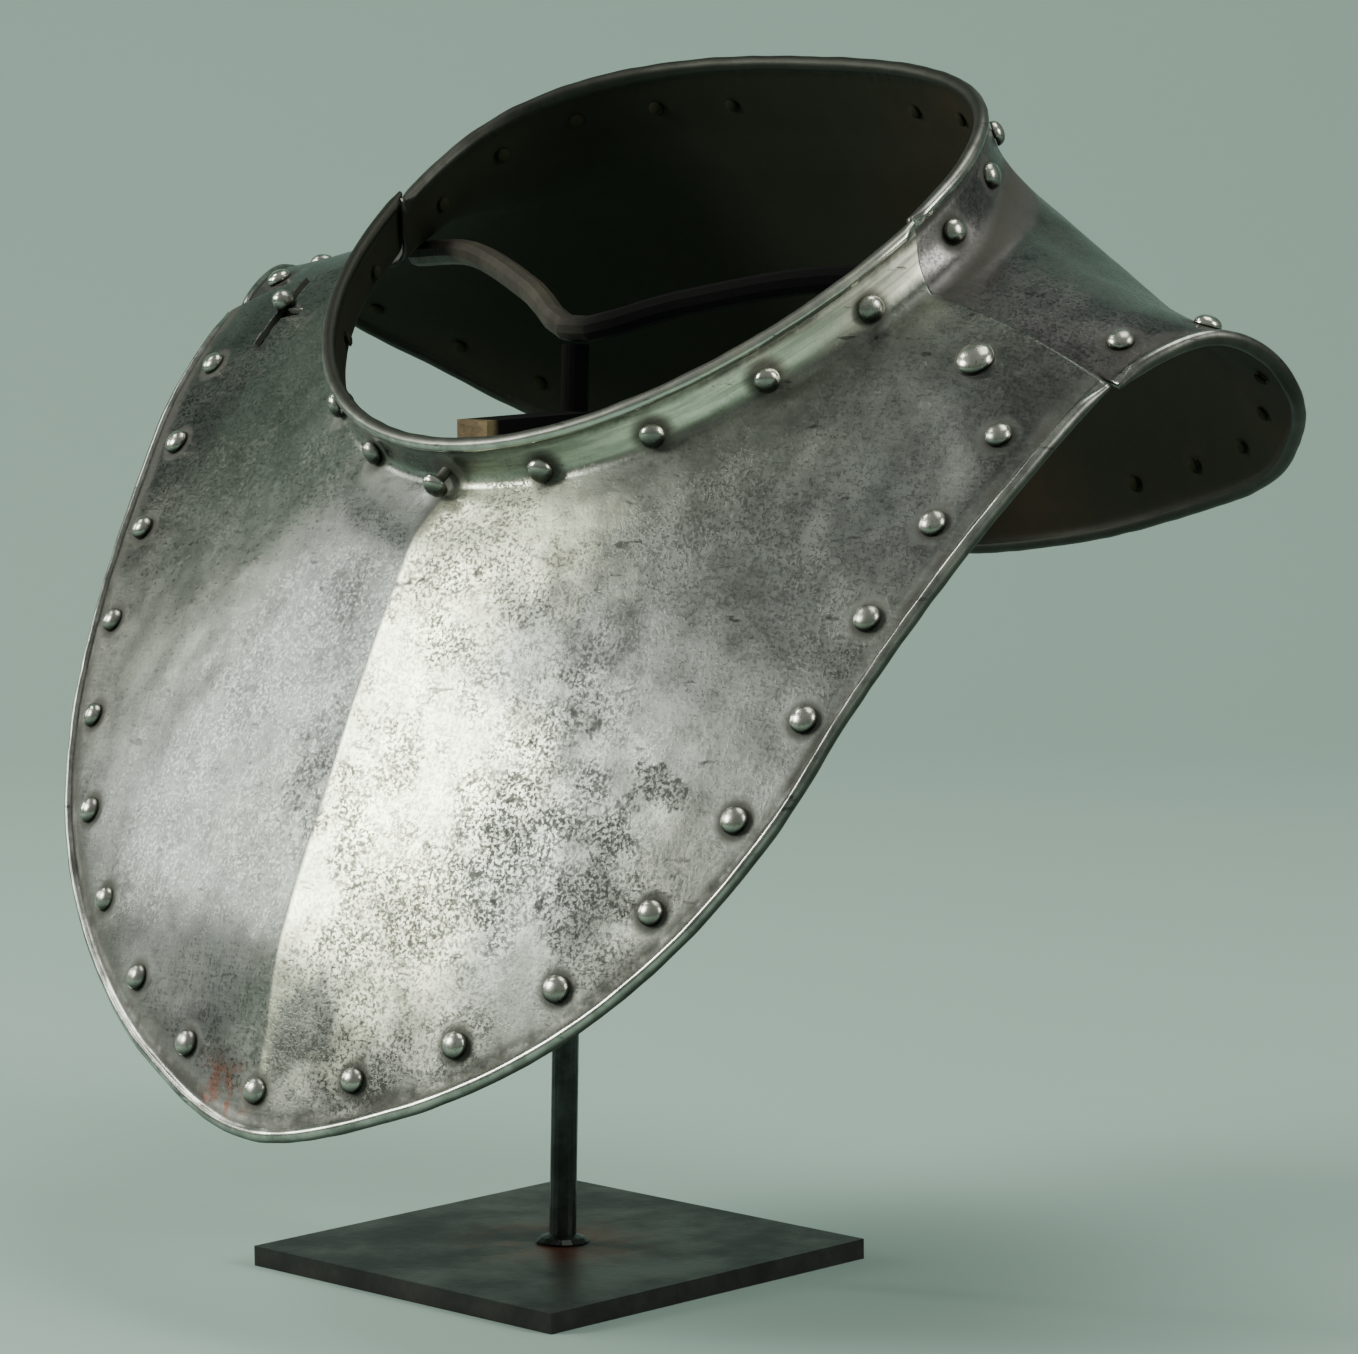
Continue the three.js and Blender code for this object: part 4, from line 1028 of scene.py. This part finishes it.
def add_floor():
    """A pale floor that sweeps up behind the object."""
    toward = Vector((math.sin(math.radians(CAMERA_AZIMUTH)), -math.cos(math.radians(CAMERA_AZIMUTH)), 0))
    side = Vector((toward.y, -toward.x, 0))
    profile = [(FLOOR_AHEAD, 0.0), (-SWEEP_START, 0.0)]
    for step in range(1, SWEEP_STEPS + 1):
        angle = math.pi / 2 * step / SWEEP_STEPS
        profile.append((-SWEEP_START - SWEEP_RADIUS * math.sin(angle), SWEEP_RADIUS * (1 - math.cos(angle))))
    profile.append((profile[-1][0], WALL_HEIGHT))
    points, faces = [], []
    for away, height in profile:
        for half in (-FLOOR_HALF_WIDTH, FLOOR_HALF_WIDTH):
            points.append(toward * away + side * half + Vector((0, 0, height)))
    for row in range(len(profile) - 1):
        faces.append((2 * row, 2 * row + 1, 2 * row + 3, 2 * row + 2))
    mesh = bpy.data.meshes.new("floor")
    mesh.from_pydata(points, [], faces)
    mesh.polygons.foreach_set("use_smooth", [True] * len(faces))
    obj = bpy.data.objects.new("floor", mesh)
    bpy.context.scene.collection.objects.link(obj)
    made, n, shader = material("floor_paper")
    n.put(shader.inputs["Base Color"], FLOOR_COLOUR)
    n.put(shader.inputs["Roughness"], FLOOR_ROUGHNESS)
    n.put(shader.inputs["Specular IOR Level"], FLOOR_GLOSS)
    obj.data.materials.append(made)


def add_world():
    world = bpy.data.worlds.new("studio")
    world.use_nodes = True
    tree = world.node_tree
    tree.nodes.clear()
    n = Nodes(tree)
    direction = n.add("ShaderNodeTexCoord").outputs["Generated"]
    upward = n.add("ShaderNodeSeparateXYZ", {"Vector": direction}).outputs["Z"]
    shade = n.mix(n.ramp(upward, *WORLD_RANGE), WORLD_LOW, WORLD_HIGH)
    glow = n.add("ShaderNodeBackground", {"Color": shade, "Strength": WORLD_POWER})
    output = n.add("ShaderNodeOutputWorld")
    tree.links.new(glow.outputs[0], output.inputs["Surface"])
    bpy.context.scene.world = world


def main():
    for obj in list(bpy.data.objects):
        bpy.data.objects.remove(obj)
    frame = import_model()
    nodes = frame["nodes"]
    rng = random.Random(SEED)
    noise.seed_set(SEED)

    steel = plate_steel("plate_steel", PLATE_DARK, PLATE_BRIGHT, 1.0, 1.0)
    back_steel = plate_steel("back_steel", BACK_DARK, BACK_BRIGHT, 0.0, 0.15)
    prop_end = min(v.co.y for v in nodes["stand_prop"].data.vertices)
    steels = {values["name"]: simple_steel(**values) for values in STEELS}
    steels["prop_steel"] = simple_steel(**PROP_STEEL, shade=("Y", *(prop_end + step for step in PROP_SHADE)))

    # Rivets, pivot and stud, each turned again as a smooth dome on the place of its CAD node.
    holders = {"front": [], "back": []}
    for name, node in sorted(nodes.items()):
        if "rivet" not in name and name != "closure_stud":
            continue
        centre, axis, seat, radius, rise, low = axis_of(node_points(node))
        body = "front" if name.startswith("front_") else "back_and_stand"
        if name == "pivot_rivet":
            holders["front"].append((centre, axis))
        else:
            holders["front" if body == "front" else "back"].append((centre, axis))
        lean = Vector([rng.uniform(-1, 1) * RIVET_LEAN for _ in range(3)])
        leaning = (Vector(axis) + lean).normalized()
        size = radius * rng.uniform(*RIVET_SIZES)
        profile = rivet_profile(seat, size, rise, low)
        made = turned("smooth_" + name, centre, leaning, profile, RIVET_SIDES)
        points = range(RIVET_SIDES * len(profile))
        add_layer(made, "inside", [float(index < RIVET_SIDES * TAIL_RINGS) for index in points])
        paint(made, steels["rivet_steel"])
        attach(made, body)
        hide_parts(name)

    front = plate_object("smooth_front_plate", front_start, front_end, 0.0, holders["front"])
    cut_slot(front)
    paint(front, steel)
    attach(front, "front")
    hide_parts("front_plate")
    back = plate_object("smooth_back_plate", back_start, back_end, NEST, holders["back"])
    paint(back, back_steel)
    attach(back, "back_and_stand")
    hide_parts("back_plate")

    for name, finish in STAND_FINISHES.items():
        node = nodes[name]
        paint(node, steels[finish])
        bevel = node.modifiers.new("edges", "BEVEL")
        bevel.width, bevel.segments, bevel.limit_method = BEVEL_WIDTH, BEVEL_SEGMENTS, "ANGLE"
        bevel.angle_limit = math.radians(BEVEL_ANGLE)
        node.data.polygons.foreach_set("use_smooth", [True] * len(node.data.polygons))
        weld = node.modifiers.new("normals", "WEIGHTED_NORMAL")
        weld.keep_sharp = True

    add_floor()
    add_world()
    add_camera()
    for light in LIGHTS:
        add_light(*light)


main()
